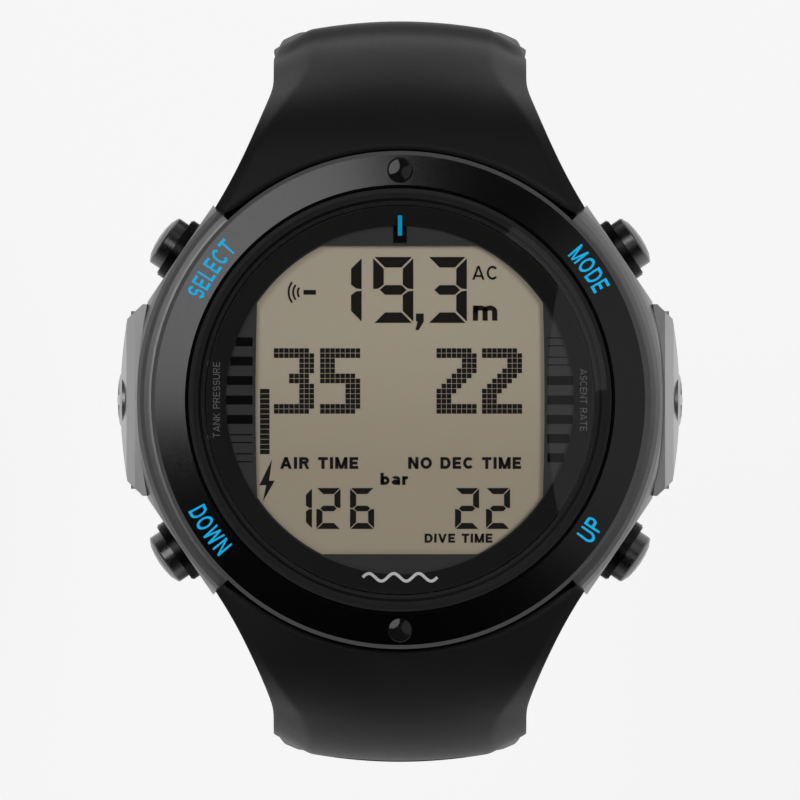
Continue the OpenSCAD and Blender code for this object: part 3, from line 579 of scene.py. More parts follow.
def half_width(line, s):
    """Half width at distance s: flared beside the case, then even, then narrower."""
    bend_end = line[0][0] + line[1][0]
    flare = max(0.0, 1 - s / (bend_end * 0.66))
    narrow = smooth_step((s - bend_end) / (22 * MM))
    return mix(STRAP_HALF, END_HALF, narrow) - 0.06 * MM + FLARE * flare ** 1.85


def start_at(x):
    """Distance along the line where the end's edge is, at x across: bezel arc, then seam."""
    x = abs(x)
    on_arc = x <= gap_r * math.cos(SEAM_ANGLE)
    edge_y = math.sqrt(gap_r ** 2 - x * x) if on_arc else x * math.tan(SEAM_ANGLE)
    return max(0.0, (edge_y - line_start_y) / math.cos(math.radians(8)))


def strap_grid(line, length, rim):
    """Rings of outer and inner points along one half on the side of +Y."""
    bend_end = line[0][0] + line[1][0]
    count = round(length / RING_STEP)
    rings = []
    for i in range(count + 1):
        s = length * i / count
        bent = smooth_step((s - 4 * MM) / (bend_end * 0.62))
        thin = smooth_step((s - bend_end - 2 * MM) / (15 * MM))
        thick = mix(START_THICK, BEND_THICK, smooth_step(s / (bend_end * 0.72)))
        thick = mix(thick, THIN, smooth_step((s - bend_end) / (16 * MM)))
        half = half_width(line, s)
        middle = mix(mix(0.93, 0.715, bent), 0.90, thin)
        crown = mix(mix(0.25, 0.75, bent), 0.15, thin) * MM
        edge = mix(mix(0.55, 2.5, bent), 0.55, thin) * MM
        outer, inner = [], []
        for side_sign in (-1, 1):
            for f in ACROSS if side_sign > 0 else reversed(ACROSS[1:]):
                # the raised middle ends at the fraction `middle`; the rest is chamfer
                g = f / FOLD * middle if f <= FOLD else middle + (f - FOLD) / (1 - FOLD) * (1 - middle)
                own_s, wide = s, half
                # width and start depend on each other, so they are found in turns
                for turn in range(FAN_ROUNDS if s < FAN else 0):
                    x = wide * g
                    own_s = start_at(x) + (FAN - start_at(x)) * s / FAN
                    wide = half_width(line, own_s)
                x = side_sign * wide * g
                y, z, a = walk(line, own_s)
                u = g / middle
                down_chamfer = (g - middle) / (1 - middle)
                depth = crown * u * u if g <= middle else crown + (edge - crown) * down_chamfer
                if rim:
                    depth += rim_depth(own_s, bend_end, x, half)
                outer.append((x, y + depth * math.sin(a), z - depth * math.cos(a)))
                at_edge = smooth_step((g - 0.9) / 0.1)
                low = thick - 0.35 * MM * at_edge
                inner.append((x * (1 - 0.03 * at_edge),
                              y + low * math.sin(a), z - low * math.cos(a)))
        rings.append((outer, inner))
    return rings


def rim_depth(s, bend_end, x, half):
    """How far the face lies below the outer line: the bend is sunk a little ahead of a raised rim."""
    corner = 3.2 * MM
    into = max(0.0, abs(x) - (half - corner))
    delay = corner - math.sqrt(max(0.0, corner ** 2 - into ** 2))
    sunk = 0.85 * MM * smooth_step((s - 9 * MM) / (10 * MM))
    rise = smooth_step((s - (bend_end - 3.3 * MM) - delay) / (0.9 * MM))
    past = s - bend_end
    dip = smooth_step((past - 3.5 * MM) / (3 * MM)) * (1 - smooth_step((past - 8 * MM) / (8 * MM)))
    return sunk * (1 - rise) + 0.5 * MM * dip


def strap_mesh(name, line, length, rim):
    """A closed mesh of one half, from its rings."""
    rings = strap_grid(line, length, rim)
    wide = len(rings[0][0])
    loop = 2 * wide
    verts, faces = skin([outer + inner[::-1] for outer, inner in rings])
    faces = faces[:-2]
    for start, flip in ((0, True), (len(verts) - loop, False)):
        for j in range(wide - 1):
            quad = (start + j, start + j + 1, start + loop - 2 - j, start + loop - 1 - j)
            faces.append(quad[::-1] if flip else quad)
    return face_outward(mesh_from(name, verts, faces, smooth=True))


# %% [markdown]
# ## Cuts in the rubber
# The halves need what a moulding tool makes with cores: pockets for the steel lugs, the bore of
# the spring bar, the holes for the tongue, cross grooves and the slot at the buckle. Solid
# cutters and the exact boolean make these with crisp edges after the smooth surface is settled.

# %% Cutters
def circle(radius, sides):
    return [(radius * math.cos(t), radius * math.sin(t)) for t in
            (2 * math.pi * k / sides for k in range(sides))]


def rod(y, z, radius, width, sides=48):
    """A bar across the strap, centred on x = 0."""
    return mesh_from("cutter", *skin([[(x, y + c, z + d) for c, d in circle(radius, sides)]
                                      for x in (-width / 2, width / 2)]))


def block(low_corner, high_corner):
    """A box between two corners."""
    verts = [(x, y, z) for x in (low_corner[0], high_corner[0]) for y in (low_corner[1], high_corner[1])
             for z in (low_corner[2], high_corner[2])]
    faces = [(0, 1, 3, 2), (4, 6, 7, 5), (0, 4, 5, 1), (2, 3, 7, 6), (0, 2, 6, 4), (1, 5, 7, 3)]
    return mesh_from("cutter", verts, faces)


def punch(place, outline, start, end):
    """A cutter with an outline on the strap's face, through its thickness at a point of its line."""
    y, z, a = place
    along = Vector((0, math.cos(a), math.sin(a)))
    down = Vector((0, math.sin(a), -math.cos(a)))
    return mesh_from("cutter", *skin([[Vector((u, y, z)) + along * v + down * d for u, v in outline]
                                      for d in (start, end)]))


def carve(piece, cutters, operation="DIFFERENCE"):
    """Applies exact booleans one after another and removes the cutters."""
    for cutter in cutters:
        face_outward(cutter)
        step = piece.modifiers.new("cut", "BOOLEAN")
        step.operation = operation
        step.solver = "EXACT"
        step.object = cutter
        settle(piece)
        bpy.data.objects.remove(cutter)


def settle(piece):
    """Turns a piece with modifiers into a plain mesh."""
    depsgraph = bpy.context.evaluated_depsgraph_get()
    plain = bpy.data.meshes.new_from_object(piece.evaluated_get(depsgraph))
    piece.modifiers.clear()
    old = piece.data
    piece.data = plain
    bpy.data.meshes.remove(old)


# %% Lug pockets and knuckle
LUG_GAP = 17.2 * MM
LUG_THICK = 2.2 * MM
LUG_R = 2.4 * MM
LUG_PLAY = 0.3 * MM
KNUCKLE_R = 3.1 * MM
BAR_BORE_R = 0.95 * MM


def fit_to_lugs(piece):
    """Knuckle between the lugs, pockets around them and the bore of the spring bar."""
    carve(piece, [rod(bar_y, bar_z, KNUCKLE_R, LUG_GAP - 2 * LUG_PLAY, 64)], "UNION")
    room = LUG_R + 0.35 * MM
    near, far = LUG_GAP / 2 - LUG_PLAY, LUG_GAP / 2 + LUG_THICK + LUG_PLAY
    for x0, x1 in ((-far, -near), (near, far)):
        pocket = rod(bar_y, bar_z, room, far - near)
        pocket.data.transform(Matrix.Translation(((x0 + x1) / 2, 0, 0)))
        opening = block((x0, gap_r - 4 * MM, bar_z - 12 * MM), (x1, bar_y, bar_z + room))
        carve(piece, [pocket, opening])
    carve(piece, [rod(bar_y, bar_z, BAR_BORE_R, LUG_GAP + 2 * LUG_THICK + 2 * MM, 32)])


# %% Rounding
CREASE_ANGLE = math.radians(50)
CREASE = 0.9


def round_off(piece):
    """One pass of subdivision that keeps the long edges and the end walls crisp."""
    fix = bmesh.new()
    fix.from_mesh(piece.data)
    crease = fix.edges.layers.float.new("crease_edge")
    for edge in fix.edges:
        if len(edge.link_faces) == 2 and edge.calc_face_angle() > CREASE_ANGLE:
            edge[crease] = CREASE
    fix.to_mesh(piece.data)
    fix.free()
    step = piece.modifiers.new("round", "SUBSURF")
    step.levels = 1
    step.render_levels = 1
    settle(piece)


# %% Build the short half
BUCKLE_KNUCKLE_R = 1.95 * MM
BUCKLE_BORE_R = 0.8 * MM
TONGUE_SLOT = 1.45 * MM
strap_short = strap_mesh("strap_half_short", short_line, short_length, rim=True)
round_off(strap_short)
fit_to_lugs(strap_short)
buckle_low, buckle_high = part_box("buckle_bar")
buckle_y = (buckle_low.y + buckle_high.y) / 2
buckle_z = (buckle_low.z + buckle_high.z) / 2
carve(strap_short, [rod(buckle_y, buckle_z, BUCKLE_KNUCKLE_R, 2 * END_HALF)], "UNION")
carve(strap_short, [rod(buckle_y, buckle_z, BUCKLE_BORE_R, 2 * END_HALF + 2 * MM, 32),
                    block((-TONGUE_SLOT, buckle_y - 4 * MM, buckle_z - 4 * MM),
                          (TONGUE_SLOT, buckle_y + 5 * MM, buckle_z + 4 * MM))])
sharpen(strap_short, 38)
dress(strap_short, strap_rubber, "strap_short", "strap_short")
print("short half faces:", len(strap_short.data.polygons))

# %% Build the long half
HOLE_R = 1.35 * MM
HOLE_PITCH = 6.2 * MM
HOLE_COUNT = 9
LAST_HOLE = 9 * MM
GROOVE_R = 0.55 * MM
GROOVE_WIDTH = 11.6 * MM
GROOVE_PITCH = 5.2 * MM
GROOVE_COUNT = 4
TIP_STEPS = 32
strap_long = strap_mesh("strap_half_long", long_line, long_length, rim=False)
round_off(strap_long)
fit_to_lugs(strap_long)
carve(strap_long, [punch(walk(long_line, long_length - LAST_HOLE - HOLE_PITCH * k),
                         circle(HOLE_R, 32), -2 * MM, 6 * MM) for k in range(HOLE_COUNT)])
first_groove = (long_line[0][0] + long_line[1][0]) * 0.93
groove_places = [walk(long_line, first_groove + GROOVE_PITCH * k) for k in range(GROOVE_COUNT)]
carve(strap_long, [rod(y, z, GROOVE_R, GROOVE_WIDTH, 24) for y, z, a in groove_places])

# the tip is cut to a half circle, seen from its face
tip_r = END_HALF + 0.5 * MM
tip = [(tip_r * math.sin(t), tip_r * (math.cos(t) - 1)) for t in
       (math.pi * (k / TIP_STEPS - 0.5) for k in range(TIP_STEPS + 1))]
past = 20 * MM
tip = [(-past, -tip_r)] + tip + [(past, -tip_r), (past, past / 2), (-past, past / 2)]
carve(strap_long, [punch(walk(long_line, long_length), tip, -4 * MM, 8 * MM)])

# this half is made on the side of +Y like the other, and then mirrored to -Y
for vertex in strap_long.data.vertices:
    vertex.co.y = -vertex.co.y
strap_long.data.flip_normals()
sharpen(strap_long, 38)
dress(strap_long, strap_rubber, "strap_long", "strap_long")
print("long half faces:", len(strap_long.data.polygons))

# %% [markdown]
# ## Keepers
# A keeper is a loop of rubber band. It is swept: a small rounded section travels round a
# rounded rectangle, and the whole is bent to the strap's curve.

# %% Build the keepers
curve_y, curve_z = walk(short_line, short_line[0][0] + short_line[1][0] + short_line[2][0])[:2]
BAND_HALF = 0.6 * MM
BAND_ANGLE = math.radians(6)
curve_centre = Vector((0, curve_y - CURVE_R, curve_z))


def keeper(name, node, body, angle, gap):
    """A loop around the strap's curve with its middle at an angle below the horizontal."""
    half = END_HALF + gap + BAND_HALF
    r_in = CURVE_R - THIN - gap - BAND_HALF
    r_out = CURVE_R + THIN + 0.4 * MM + BAND_HALF
    mid_r, half_r = (r_in + r_out) / 2, (r_out - r_in) / 2
    corner = 1.3 * MM
    loop = []
    for cx, cr, start in ((1, 1, 0), (-1, 1, 90), (-1, -1, 180), (1, -1, 270)):
        for k in range(7):
            t = math.radians(start + 90 * k / 6)
            loop.append((cx * (half - corner) + corner * math.cos(t),
                         mid_r + cr * (half_r - corner) + corner * math.sin(t),
                         math.cos(t), math.sin(t)))
    section = []
    for k in range(24):
        t = 2 * math.pi * k / 24
        c, d = math.cos(t), math.sin(t)
        section.append((math.copysign(abs(c) ** 0.35, c) * BAND_ANGLE,
                        math.copysign(abs(d) ** 0.5, d) * 0.58 * MM))
    rings = []
    for x, r, nx, nr in loop:
        ring = []
        for a, h in section:
            t = math.radians(angle) + a
            rr = r + nr * h
            ring.append(curve_centre + Vector((x + nx * h, rr * math.cos(t), -rr * math.sin(t))))
        rings.append(ring)
    made = face_outward(mesh_from(name, *skin(rings, closed=True)))
    sharpen(made, 60)
    dress(made, strap_rubber, body, node)


keeper("keeper_loop_fixed", "keeper_fixed", "strap_short", 73, 0.08 * MM)
keeper("keeper_loop_free", "keeper_free", "keeper_free", 53, 0.25 * MM)
print("keepers made")

# %% [markdown]
# ## Figures on the display
# A segment display draws each figure from fixed bars with mitred ends, and the middle rows from
# a grid of small squares. Each is a thin plate just above the display cell. All of them are one
# piece, because on the real display they are one printed film.

# %% Plates from outlines
FIGURE_Z = panel_high.z + 0.012 * MM
FIGURE_T = 0.02 * MM


class Plates:
    """Collects flat outlines and makes one piece of thin plates from them."""

    def __init__(self):
        self.verts = []
        self.faces = []
        self.group = []
        self.count = 0

    def add(self, outline, z=FIGURE_Z, t=FIGURE_T):
        """Adds one outline as a plate. Each corner keeps the number of its plate."""
        base = len(self.verts)
        n = len(outline)
        area = sum(outline[i][0] * outline[(i + 1) % n][1] - outline[(i + 1) % n][0] * outline[i][1]
                   for i in range(n))
        if area < 0:
            outline = outline[::-1]
        self.verts += [(x * MM, y * MM, z) for x, y in outline]
        self.verts += [(x * MM, y * MM, z + t) for x, y in outline]
        self.group += [self.count] * (2 * n)
        self.count += 1
        self.faces.append([base + k for k in range(n)][::-1])
        self.faces.append([base + n + k for k in range(n)])
        self.faces += [[base + k, base + (k + 1) % n, base + n + (k + 1) % n, base + n + k]
                       for k in range(n)]

    def piece(self, name, material, slot):
        """Makes one piece of all the plates. It rides on the case."""
        return dress(mesh_from(name, self.verts, self.faces), material, "case")


figures = Plates()


# %% Seven-segment figures
SEGMENTS = {"1": "bc", "2": "abged", "3": "abgcd", "6": "afgedc", "9": "abcfgd"}


def seven(plates, digit, left, right, top, bottom, t):
    """One figure of bars t thick, with mitred ends. Sizes are in millimetres."""
    gap = t * 0.13
    middle = (top + bottom) / 2

    def level_bar(y, toward):
        return [(left + gap, y), (right - gap, y),
                (right - t - gap, y - toward * t), (left + t + gap, y - toward * t)]

    def upright_bar(x, turn, y, toward):
        return [(x, y - toward * gap), (x, middle + toward * gap * 0.6),
                (x - turn * t * 0.5, middle + toward * gap), (x - turn * t, middle + toward * t * 0.5),
                (x - turn * t, y - toward * (t + gap))]

    shapes = {
        "a": level_bar(top, 1), "d": level_bar(bottom, -1),
        "b": upright_bar(right, 1, top, 1), "c": upright_bar(right, 1, bottom, -1),
        "f": upright_bar(left, -1, top, 1), "e": upright_bar(left, -1, bottom, -1),
        "g": [(left + t * 0.5 + gap, middle), (left + t + gap, middle + t * 0.46),
              (right - t - gap, middle + t * 0.46), (right - t * 0.5 - gap, middle),
              (right - t - gap, middle - t * 0.46), (left + t + gap, middle - t * 0.46)],
    }
    for segment in SEGMENTS[digit]:
        plates.add(shapes[segment])


# depth in metres, with a comma
for digit, left, right in (("1", -7.3, -3.4), ("9", -2.37, 1.18), ("3", 2.46, 5.92)):
    seven(figures, digit, left, right, 12.67, 6.83, 0.93)
figures.add([(1.42, 7.66), (2.1, 7.66), (2.1, 6.95), (1.66, 6.2), (1.36, 6.2), (1.56, 6.95),
             (1.42, 6.95)])
# tank pressure and dive time
for digit, left, right in (("1", -9.6, -7.8), ("2", -7.4, -5.27), ("6", -4.42, -2.29),
                           ("2", 4.88, 7.01), ("2", 7.62, 9.75)):
    seven(figures, digit, left, right, -7.8, -11.42, 0.53)
print("segment plates:", len(figures.verts))

# %% Figures of small squares
DOT_PITCH = 0.449
DOT = 0.40
# each row gives the first and last square that is dark
DOT_ROWS = {
    "3": [(0, 6), (0, 7), (5, 7), (5, 7), (5, 7), (3, 6), (3, 6), (5, 7), (5, 7), (5, 7), (5, 7), (0, 7), (0, 6)],
    "5": [(0, 7), (0, 7), (0, 2), (0, 2), (0, 2), (0, 6), (0, 7), (5, 7), (5, 7), (5, 7), (5, 7), (0, 7), (0, 6)],
    "2": [(0, 6), (0, 7), (5, 7), (5, 7), (4, 7), (3, 6), (2, 5), (1, 4), (0, 3), (0, 2), (0, 2), (0, 7), (0, 7)],
}


def dotted(plates, digit, left, top):
    """One figure on a grid of 8 by 13 squares."""
    for row, (first, last) in enumerate(DOT_ROWS[digit]):
        for column in range(first, last + 1):
            x = left + column * DOT_PITCH
            y = top - row * DOT_PITCH
            plates.add([(x, y), (x + DOT, y), (x + DOT, y - DOT), (x, y - DOT)])


DOT_TOP = 4.58
for digit, left in (("3", -11.16), ("5", -7.07), ("2", 3.24), ("2", 7.27)):
    dotted(figures, digit, left, DOT_TOP)

# bar graph of the tank, in thirteen blocks
for k in range(13):
    y = 0.98 - k * 0.448
    figures.add([(-12.4, y), (-11.56, y), (-11.56, y - 0.40), (-12.4, y - 0.40)])
# a bolt under the bar graph
figures.add([(-11.35, -5.3), (-12.45, -7.55), (-11.85, -7.55), (-12.15, -9.0), (-11.1, -7.15),
             (-11.6, -7.15)])
# a sender with its waves
figures.add([(-8.55, 9.75), (-7.45, 9.75), (-7.45, 9.33), (-8.55, 9.33)])
for k, r in enumerate((0.75, 1.15, 1.55)):
    arc = [(-8.75 - 0 - r * math.cos(t) + 0.35, 9.54 + r * math.sin(t)) for t in
           (math.radians(-38 + 76 * i / 8) for i in range(9))]
    arc2 = [(-8.75 - (r - 0.17) * math.cos(t) + 0.35, 9.54 + (r - 0.17) * math.sin(t)) for t in
            (math.radians(38 - 76 * i / 8) for i in range(9))]
    figures.add(arc + arc2)
print("plates for figures:", len(figures.faces))


# %% [markdown]
# ## Lettering
# The captions on the display, the words beside the buttons and the small words on the flange
# say what each thing does. Real ones are printed film, or enamel laid in a shallow groove. Each
# letter here is drawn from straight strokes and arcs of one even width, as a stencil cutter
# would. Such letters stay crisp at a millimetre's height, and their weight is set by one number.

# %% Letters from strokes
def box_stroke(x0, y0, x1, y1):
    """A level or upright stroke between two corners."""
    return [(x0, y0), (x1, y0), (x1, y1), (x0, y1)]


def slant(x0, x1, t, y0=0.0, y1=1.0):
    """A leaning stroke whose ends are cut level."""
    return [(x0, y0), (x0 + t, y0), (x1 + t, y1), (x1, y1)]


def arc_stroke(cx, cy, rx, ry, start, end, t, steps=14):
    """A curved stroke inside an ellipse, in short straight pieces."""
    around_it = [math.radians(start + (end - start) * i / steps) for i in range(steps + 1)]
    outer = [(cx + rx * math.cos(a), cy + ry * math.sin(a)) for a in around_it]
    inner = [(cx + (rx - t) * math.cos(a), cy + (ry - t) * math.sin(a)) for a in around_it]
    return [[outer[i], outer[i + 1], inner[i + 1], inner[i]] for i in range(steps)]


def alphabet(t):
    """Width and strokes of each letter, 1 high, with strokes t wide."""
    box, lean, arc = box_stroke, slant, arc_stroke
    stem = box(0, 0, t, 1)

    def rungs(*ends):
        """The stem, and level strokes from it: how far each reaches, and its lower edge."""
        return [stem] + [box(t, y, x, y + t) for x, y in ends]

    return {
        "A": (0.92, [lean(0, 0.46 - t / 2, t), lean(0.92 - t, 0.46 - t / 2, t),
                     box(0.2, 0.2, 0.72, 0.2 + t * 0.9)]),
        "C": (0.84, arc(0.44, 0.5, 0.44, 0.5, 42, 318, t, 18)),
        "D": (0.82, rungs((0.42, 1 - t), (0.42, 0)) + arc(0.42, 0.5, 0.4, 0.5, -90, 90, t)),
        "E": (0.68, rungs((0.68, 1 - t), (0.62, 0.5 - t / 2), (0.68, 0))),
        "I": (t, [stem]),
        "K": (0.78, [stem, lean(t * 0.8, 0.78 - t, t, 0.42), lean(0.78 - t, t * 1.4, t, 0, 0.6)]),
        "L": (0.62, rungs((0.62, 0))),
        "M": (0.96, [stem, box(0.96 - t, 0, 0.96, 1), lean(0.48 - t / 2, t * 0.1, t * 0.9),
                     lean(0.48 - t * 0.4, 0.96 - t, t * 0.9)]),
        "N": (0.82, [stem, box(0.82 - t, 0, 0.82, 1), lean(0.82 - t, 0, t)]),
        "O": (0.92, arc(0.46, 0.5, 0.46, 0.5, 0, 360, t, 24)),
        "P": (0.74, rungs((0.46, 1 - t), (0.46, 0.4)) + arc(0.46, 0.7, 0.28, 0.3, -90, 90, t, 10)),
        "R": (0.80, rungs((0.46, 1 - t), (0.46, 0.42)) + [lean(0.80 - t, 0.34, t, 0, 0.46)]
              + arc(0.46, 0.71, 0.29, 0.29, -90, 90, t, 10)),
        "S": (0.70, arc(0.35, 0.73 - t / 4, 0.35, 0.27 + t / 4, 25, 270, t, 12)
              + arc(0.35, 0.27 + t / 4, 0.35, 0.27 + t / 4, -155, 90, t, 12)),
        "T": (0.76, [box(0, 1 - t, 0.76, 1), box(0.38 - t / 2, 0, 0.38 + t / 2, 1 - t)]),
        "U": (0.80, [box(0, 0.38, t, 1), box(0.80 - t, 0.38, 0.80, 1)]
              + arc(0.40, 0.38, 0.40, 0.38, 180, 360, t, 12)),
        "V": (0.88, [lean(0.44 - t / 2, 0, t), lean(0.44 - t / 2, 0.88 - t, t)]),
        "W": (1.24, [lean(foot - t / 2, top, t) for foot, top in
                     ((0.31, 0), (0.31, 0.62 - t / 2), (0.93, 0.62 - t / 2), (0.93, 1.24 - t))]),
        "a": (0.66, [box(0.66 - t, 0, 0.66, 0.5)] + arc(0.33, 0.48, 0.33, 0.25, 0, 155, t, 10)
              + arc(0.33, 0.22, 0.33, 0.22, 0, 360, t * 0.9, 16)),
        "b": (0.70, [stem] + arc(0.36, 0.36, 0.34, 0.36, 0, 360, t, 18)),
        "r": (0.46, [box(0, 0, t, 0.72)] + arc(0.40, 0.40, 0.40, 0.32, 82, 180, t, 8)),
        "m": (1.14, [box(x, 0, x + t, 0.5) for x in (0, 0.57 - t / 2, 1.14 - t)] + [box(0, 0.4, t, 0.74)]
              + arc(0.285 + t / 4, 0.46, 0.285 + t / 4, 0.28, 0, 180, t, 10)
              + arc(0.855 - t / 4, 0.46, 0.285 + t / 4, 0.28, 0, 180, t, 10)),
        " ": (0.36, []),
    }


def write(plates, words, height, width, centre, weight, spacing=0.16, x_height=1.0):
    """Lays a word on plates, with its middle at a place in millimetres."""
    letters = alphabet(weight)
    pen, strokes = 0.0, []
    for c in words:
        wide, parts_of_it = letters[c]
        strokes += [[(pen + x, y) for x, y in stroke] for stroke in parts_of_it]
        pen += wide + spacing
    pen -= spacing
    for stroke in strokes:
        plates.add([(centre[0] + (x / pen - 0.5) * width, centre[1] + (y - x_height / 2) * height)
                    for x, y in stroke])


def place_plates(plates, move, lift=0.015 * MM):
    """Moves flat plates onto a surface. Neighbours get tiny steps so that none lie in one plane."""
    placed = []
    for k, (x, y, z) in enumerate(plates.verts):
        px, py, pz = move(x / MM, y / MM)
        raised = lift if z > FIGURE_Z + FIGURE_T / 2 else 0.0
        placed.append((px * MM, py * MM, pz + raised + (plates.group[k] % 7) * 0.0012 * MM))
    plates.verts = placed


# %% Captions on the display
write(figures, "AIR TIME", 1.04, 6.92, (-7.16, -5.58), 0.25)
write(figures, "NO DEC TIME", 1.04, 10.0, (5.73, -5.58), 0.25)
write(figures, "bar", 1.08, 2.45, (-0.50, -6.98), 0.25)
write(figures, "DIVE TIME", 0.80, 6.0, (5.18, -12.24), 0.24)
write(figures, "AC", 1.24, 2.27, (7.54, 11.27), 0.16)
write(figures, "m", 1.82, 2.16, (7.54, 7.70), 0.24, x_height=0.74)
display_figures = figures.piece("display_figures", display_ink, "display_ink")
print("figure faces:", len(display_figures.data.polygons))

# %% Words on the bezel
LABEL_R = 20.4


def bezel_face(r):
    """Height of the bezel's sloping face at radius r in millimetres."""
    inner, outer = bezel_r / MM - 3.0, bezel_r / MM - 0.35
    return bezel_top - bezel_fall * (r - inner) / (outer - inner) + 0.006 * MM


def around(middle_deg, outward):
    """Bends a word along the bezel; its top points outward, or to the dial's centre."""
    def move(u, w):
        sign = 1 if outward else -1
        angle = math.radians(middle_deg) - sign * u / LABEL_R
        r = LABEL_R + sign * w
        return r * math.cos(angle), r * math.sin(angle), bezel_face(r)
    return move


labels = (
    ("label_select", "SELECT", 5.6, 180 - 34.7, True),
    ("label_mode", "MODE", 4.3, 34.7, True),
    ("label_down", "DOWN", 4.6, 180 + 34.3, False),
    ("label_up", "UP", 2.05, -34.3, False),
)
for name, words, width, angle, outward in labels:
    label_plates = Plates()
    write(label_plates, words, 1.6, width, (0, 0), 0.17, spacing=0.2)
    place_plates(label_plates, around(angle, outward))
    label_plates.piece(name, print_blue, "print_blue")
print("bezel words:", len(labels))

# %% Small words and a wave on the flange
FLANGE_LOW_Z = flange_low.z + 0.3 * MM


def flange_height(x, y):
    """Height of the flange's slope at a point in millimetres."""
    r = math.hypot(x, y) * MM
    inner, outer = dial_r, flange_high.x - 0.15 * MM
    u = max(0.0, min(1.0, (r - inner) / (outer - inner)))
    return mix(FLANGE_LOW_Z, flange_high.z, u) + 0.012 * MM


def upright(x0, turn):
    """Stands a word on end at one side of the flange."""
    def move(u, w):
        x, y = x0 - turn * w, turn * u
        return x, y, flange_height(x, y)
    return move


for name, words, width, x0, turn in (("label_tank_pressure", "TANK PRESSURE", 6.7, -16.25, 1),
                                     ("label_ascent_rate", "ASCENT RATE", 5.5, 16.25, -1)):
    word_plates = Plates()
    write(word_plates, words, 0.62, width, (0, 0), 0.13)
    place_plates(word_plates, upright(x0, turn))
    word_plates.piece(name, print_grey, "print_white")

wave = Plates()
crest = [(-3.3 + 6.6 * i / 60, -15.70 + 0.34 * math.sin(6 * math.pi * i / 60)) for i in range(61)]
upper, lower = [], []
for i, (x, y) in enumerate(crest):
    slope = Vector((6.6 / 60, 0.34 * 6 * math.pi / 60 * math.cos(6 * math.pi * i / 60))).normalized()
    upper.append((x - slope.y * 0.13, y + slope.x * 0.13))
    lower.append((x + slope.y * 0.13, y - slope.x * 0.13))
for i in range(60):
    wave.add([upper[i], upper[i + 1], lower[i + 1], lower[i]])
place_plates(wave, lambda x, y: (x, y, flange_height(x, y)))
wave.piece("wave_mark", print_white, "print_white")
print("flange marks made")

# %% [markdown]
# ## Plugs over the bezel screws
# Two glossy black plugs cover the screws. Each is a small moulded button with a rounded edge and
# a low crown, which is why it catches one small highlight. It is turned from a short curve.

# %% Turn the plugs
plug_low, plug_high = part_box("bezel_plugs")
PLUG_R = 1.12 * MM
PLUG_ROUND = 0.16 * MM
PLUG_CROWN = 0.08 * MM
PLUG_SIDES = 64
plug_at = plug_high.y - PLUG_R
plug_edge_z = plug_high.z - PLUG_CROWN
flat_r = PLUG_R - PLUG_ROUND
crown = [(PLUG_R, plug_low.z + 0.02 * MM)]
crown += [(flat_r + PLUG_ROUND * math.cos(t), plug_edge_z - 0.17 * MM + PLUG_ROUND * math.sin(t))
          for t in (math.radians(15 * k) for k in range(7))]
crown += [(flat_r * (1 - u), plug_edge_z - 0.01 * MM + PLUG_CROWN * (1 - (1 - u) ** 2))
          for u in (0.2, 0.4, 0.6, 0.8, 0.95)]
verts, faces = [], []
for centre_y in (plug_at, -plug_at):
    own_verts, own_faces = skin([[(x, centre_y + y, z) for x, y in circle(r, PLUG_SIDES)]
                                 for r, z in crown])
    faces += [tuple(len(verts) + k for k in face) for face in own_faces]
    verts += own_verts
screw_plugs = mesh_from("screw_plugs", verts, faces)
sharpen(screw_plugs, 60)
dress(screw_plugs, plug_black, "case", "bezel_plugs")
print("plugs at mm:", round(plug_at / MM, 2))

# %% [markdown]
# ## Return springs
# A spring of round steel wire sits around each button's stem, under the head, and pushes the
# button back out. Such a spring is wound on a mandrel. Its inner end rests on the case and its
# outer end on the head, so it shortens when the button is pressed.

# %% Wind the springs
WIRE_R = 0.17 * MM
WIRE_TURNS, WIRE_STEPS, WIRE_SIDES = 2.5, 120, 14

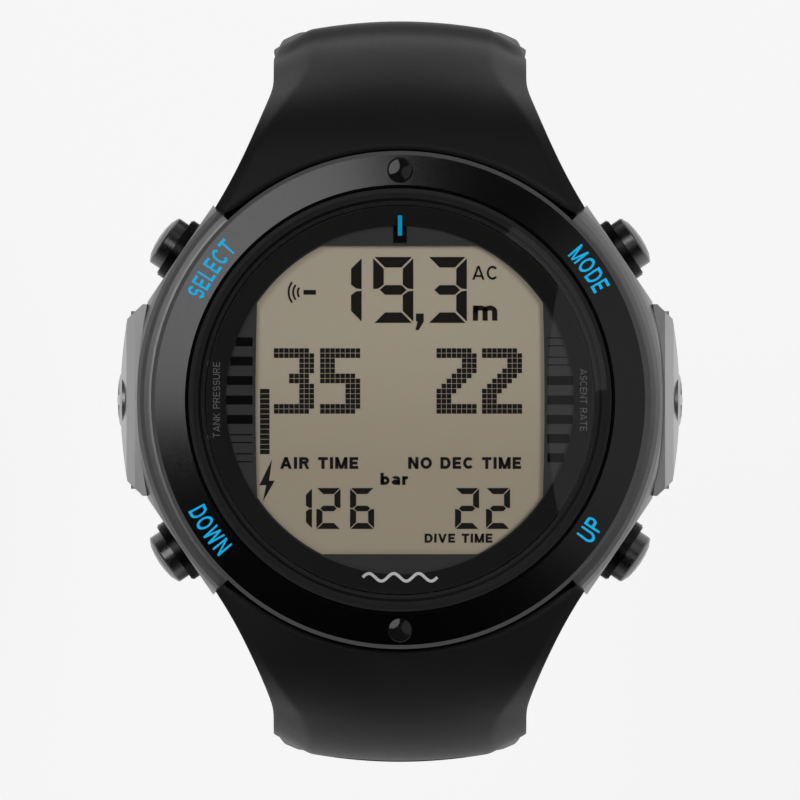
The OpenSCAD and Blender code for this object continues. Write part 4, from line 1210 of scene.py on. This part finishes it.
for button in BUTTONS:
    head = [v.co for v in nodes["button_" + button].data.vertices]
    old_coil = [v.co for v in nodes["spring_" + button].data.vertices]
    out = Vector((sum(p.x for p in head), sum(p.y for p in head), 0)).normalized()
    side, up = Vector((-out.y, out.x, 0)), Vector((0, 0, 1))
    axis_z = (min(p.z for p in head) + max(p.z for p in head)) / 2
    reach = [p.dot(out) for p in old_coil]
    first, last = min(reach) + WIRE_R, max(reach) - WIRE_R
    wind_r = max(math.hypot(p.dot(side), p.z - axis_z) for p in old_coil) - WIRE_R
    level = up * axis_z
    rings = []
    for k in reversed(range(WIRE_STEPS + 1)):
        turn = 2 * math.pi * WIRE_TURNS * k / WIRE_STEPS
        away = side * math.cos(turn) + up * math.sin(turn)
        centre = out * mix(first, last, k / WIRE_STEPS) + level + away * wind_r
        rings.append([centre + away * c + out * d for c, d in circle(WIRE_R, WIRE_SIDES)])
    coil = mesh_from("coil_" + button, *skin(rings))
    sharpen(coil, 60)
    coil.data.materials.append(bar_steel)
    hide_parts("spring_" + button)
    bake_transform(coil)
    print("coil", button, "mm:", round((last - first) / MM, 2), "long,", round(wind_r / MM, 2), "radius")

# %% [markdown]
# ## Marks on the mask
# Seven dark bars on each side of the window read tank pressure and ascent rate. The lowest two
# on the left and the highest two on the right are two thin lines each. At twelve o'clock a short
# blue bar stands in a dark slot.

# %% Bars and the twelve o'clock mark
MASK_Z = mask_high.z + 0.004 * MM
bars = Plates()
BARS_R, WINDOW_HALF = 15.42, 13.05
rows_y = [5.15, 3.45, 1.73, 0.0, -1.72, -3.42, -5.12]


def bar_plate(x0, x1, y, outlined):
    """A dark bar, or only its two long lines."""
    for low, high in ((-0.40, -0.30), (0.30, 0.40)) if outlined else ((-0.40, 0.40),):
        bars.add([(x0, y + low), (x1, y + low), (x1, y + high), (x0, y + high)], MASK_Z)


for i, y in enumerate(rows_y):
    reach = math.sqrt(BARS_R ** 2 - y * y)
    bar_plate(-reach, -WINDOW_HALF, y, i >= 5)
    bar_plate(WINDOW_HALF, reach, y, i <= 1)
bars.piece("side_bars", print_dark, "print_dark")

slot_plate = Plates()
slot_plate.add([(-0.6, 13.9), (0.6, 13.9), (0.6, 15.42), (-0.6, 15.42)], MASK_Z, 0.02 * MM)
slot_plate.piece("twelve_slot", print_dark, "print_dark")
mark = Plates()
mark.add([(-0.19, 14.55), (0.19, 14.55), (0.19, 16.35), (-0.19, 16.35)], 0, 0)
mark.verts = [(x, y, max(flange_height(x / MM, y / MM), MASK_Z + 0.03 * MM) + (0.03 * MM if i >= 4 else 0))
              for i, (x, y, z) in enumerate(mark.verts)]
mark.piece("twelve_mark", print_blue, "print_blue")
print("mask marks made")

# %% Backdrop's finish
backdrop_paper, paper_tree, paper_shader = new_material("backdrop_paper", (0.30, 0.30, 0.30), 0.9)
paper_shader.inputs["Emission Color"].default_value = (1, 1, 1, 1)
paper_shader.inputs["Emission Strength"].default_value = 0.77
paper_grain = noise(paper_tree, 60, 4)
bump(paper_tree, paper_shader, paper_grain.outputs["Fac"], 0.02, 0.05 * MM)
floor.data.materials.append(backdrop_paper)
print("backdrop finished")
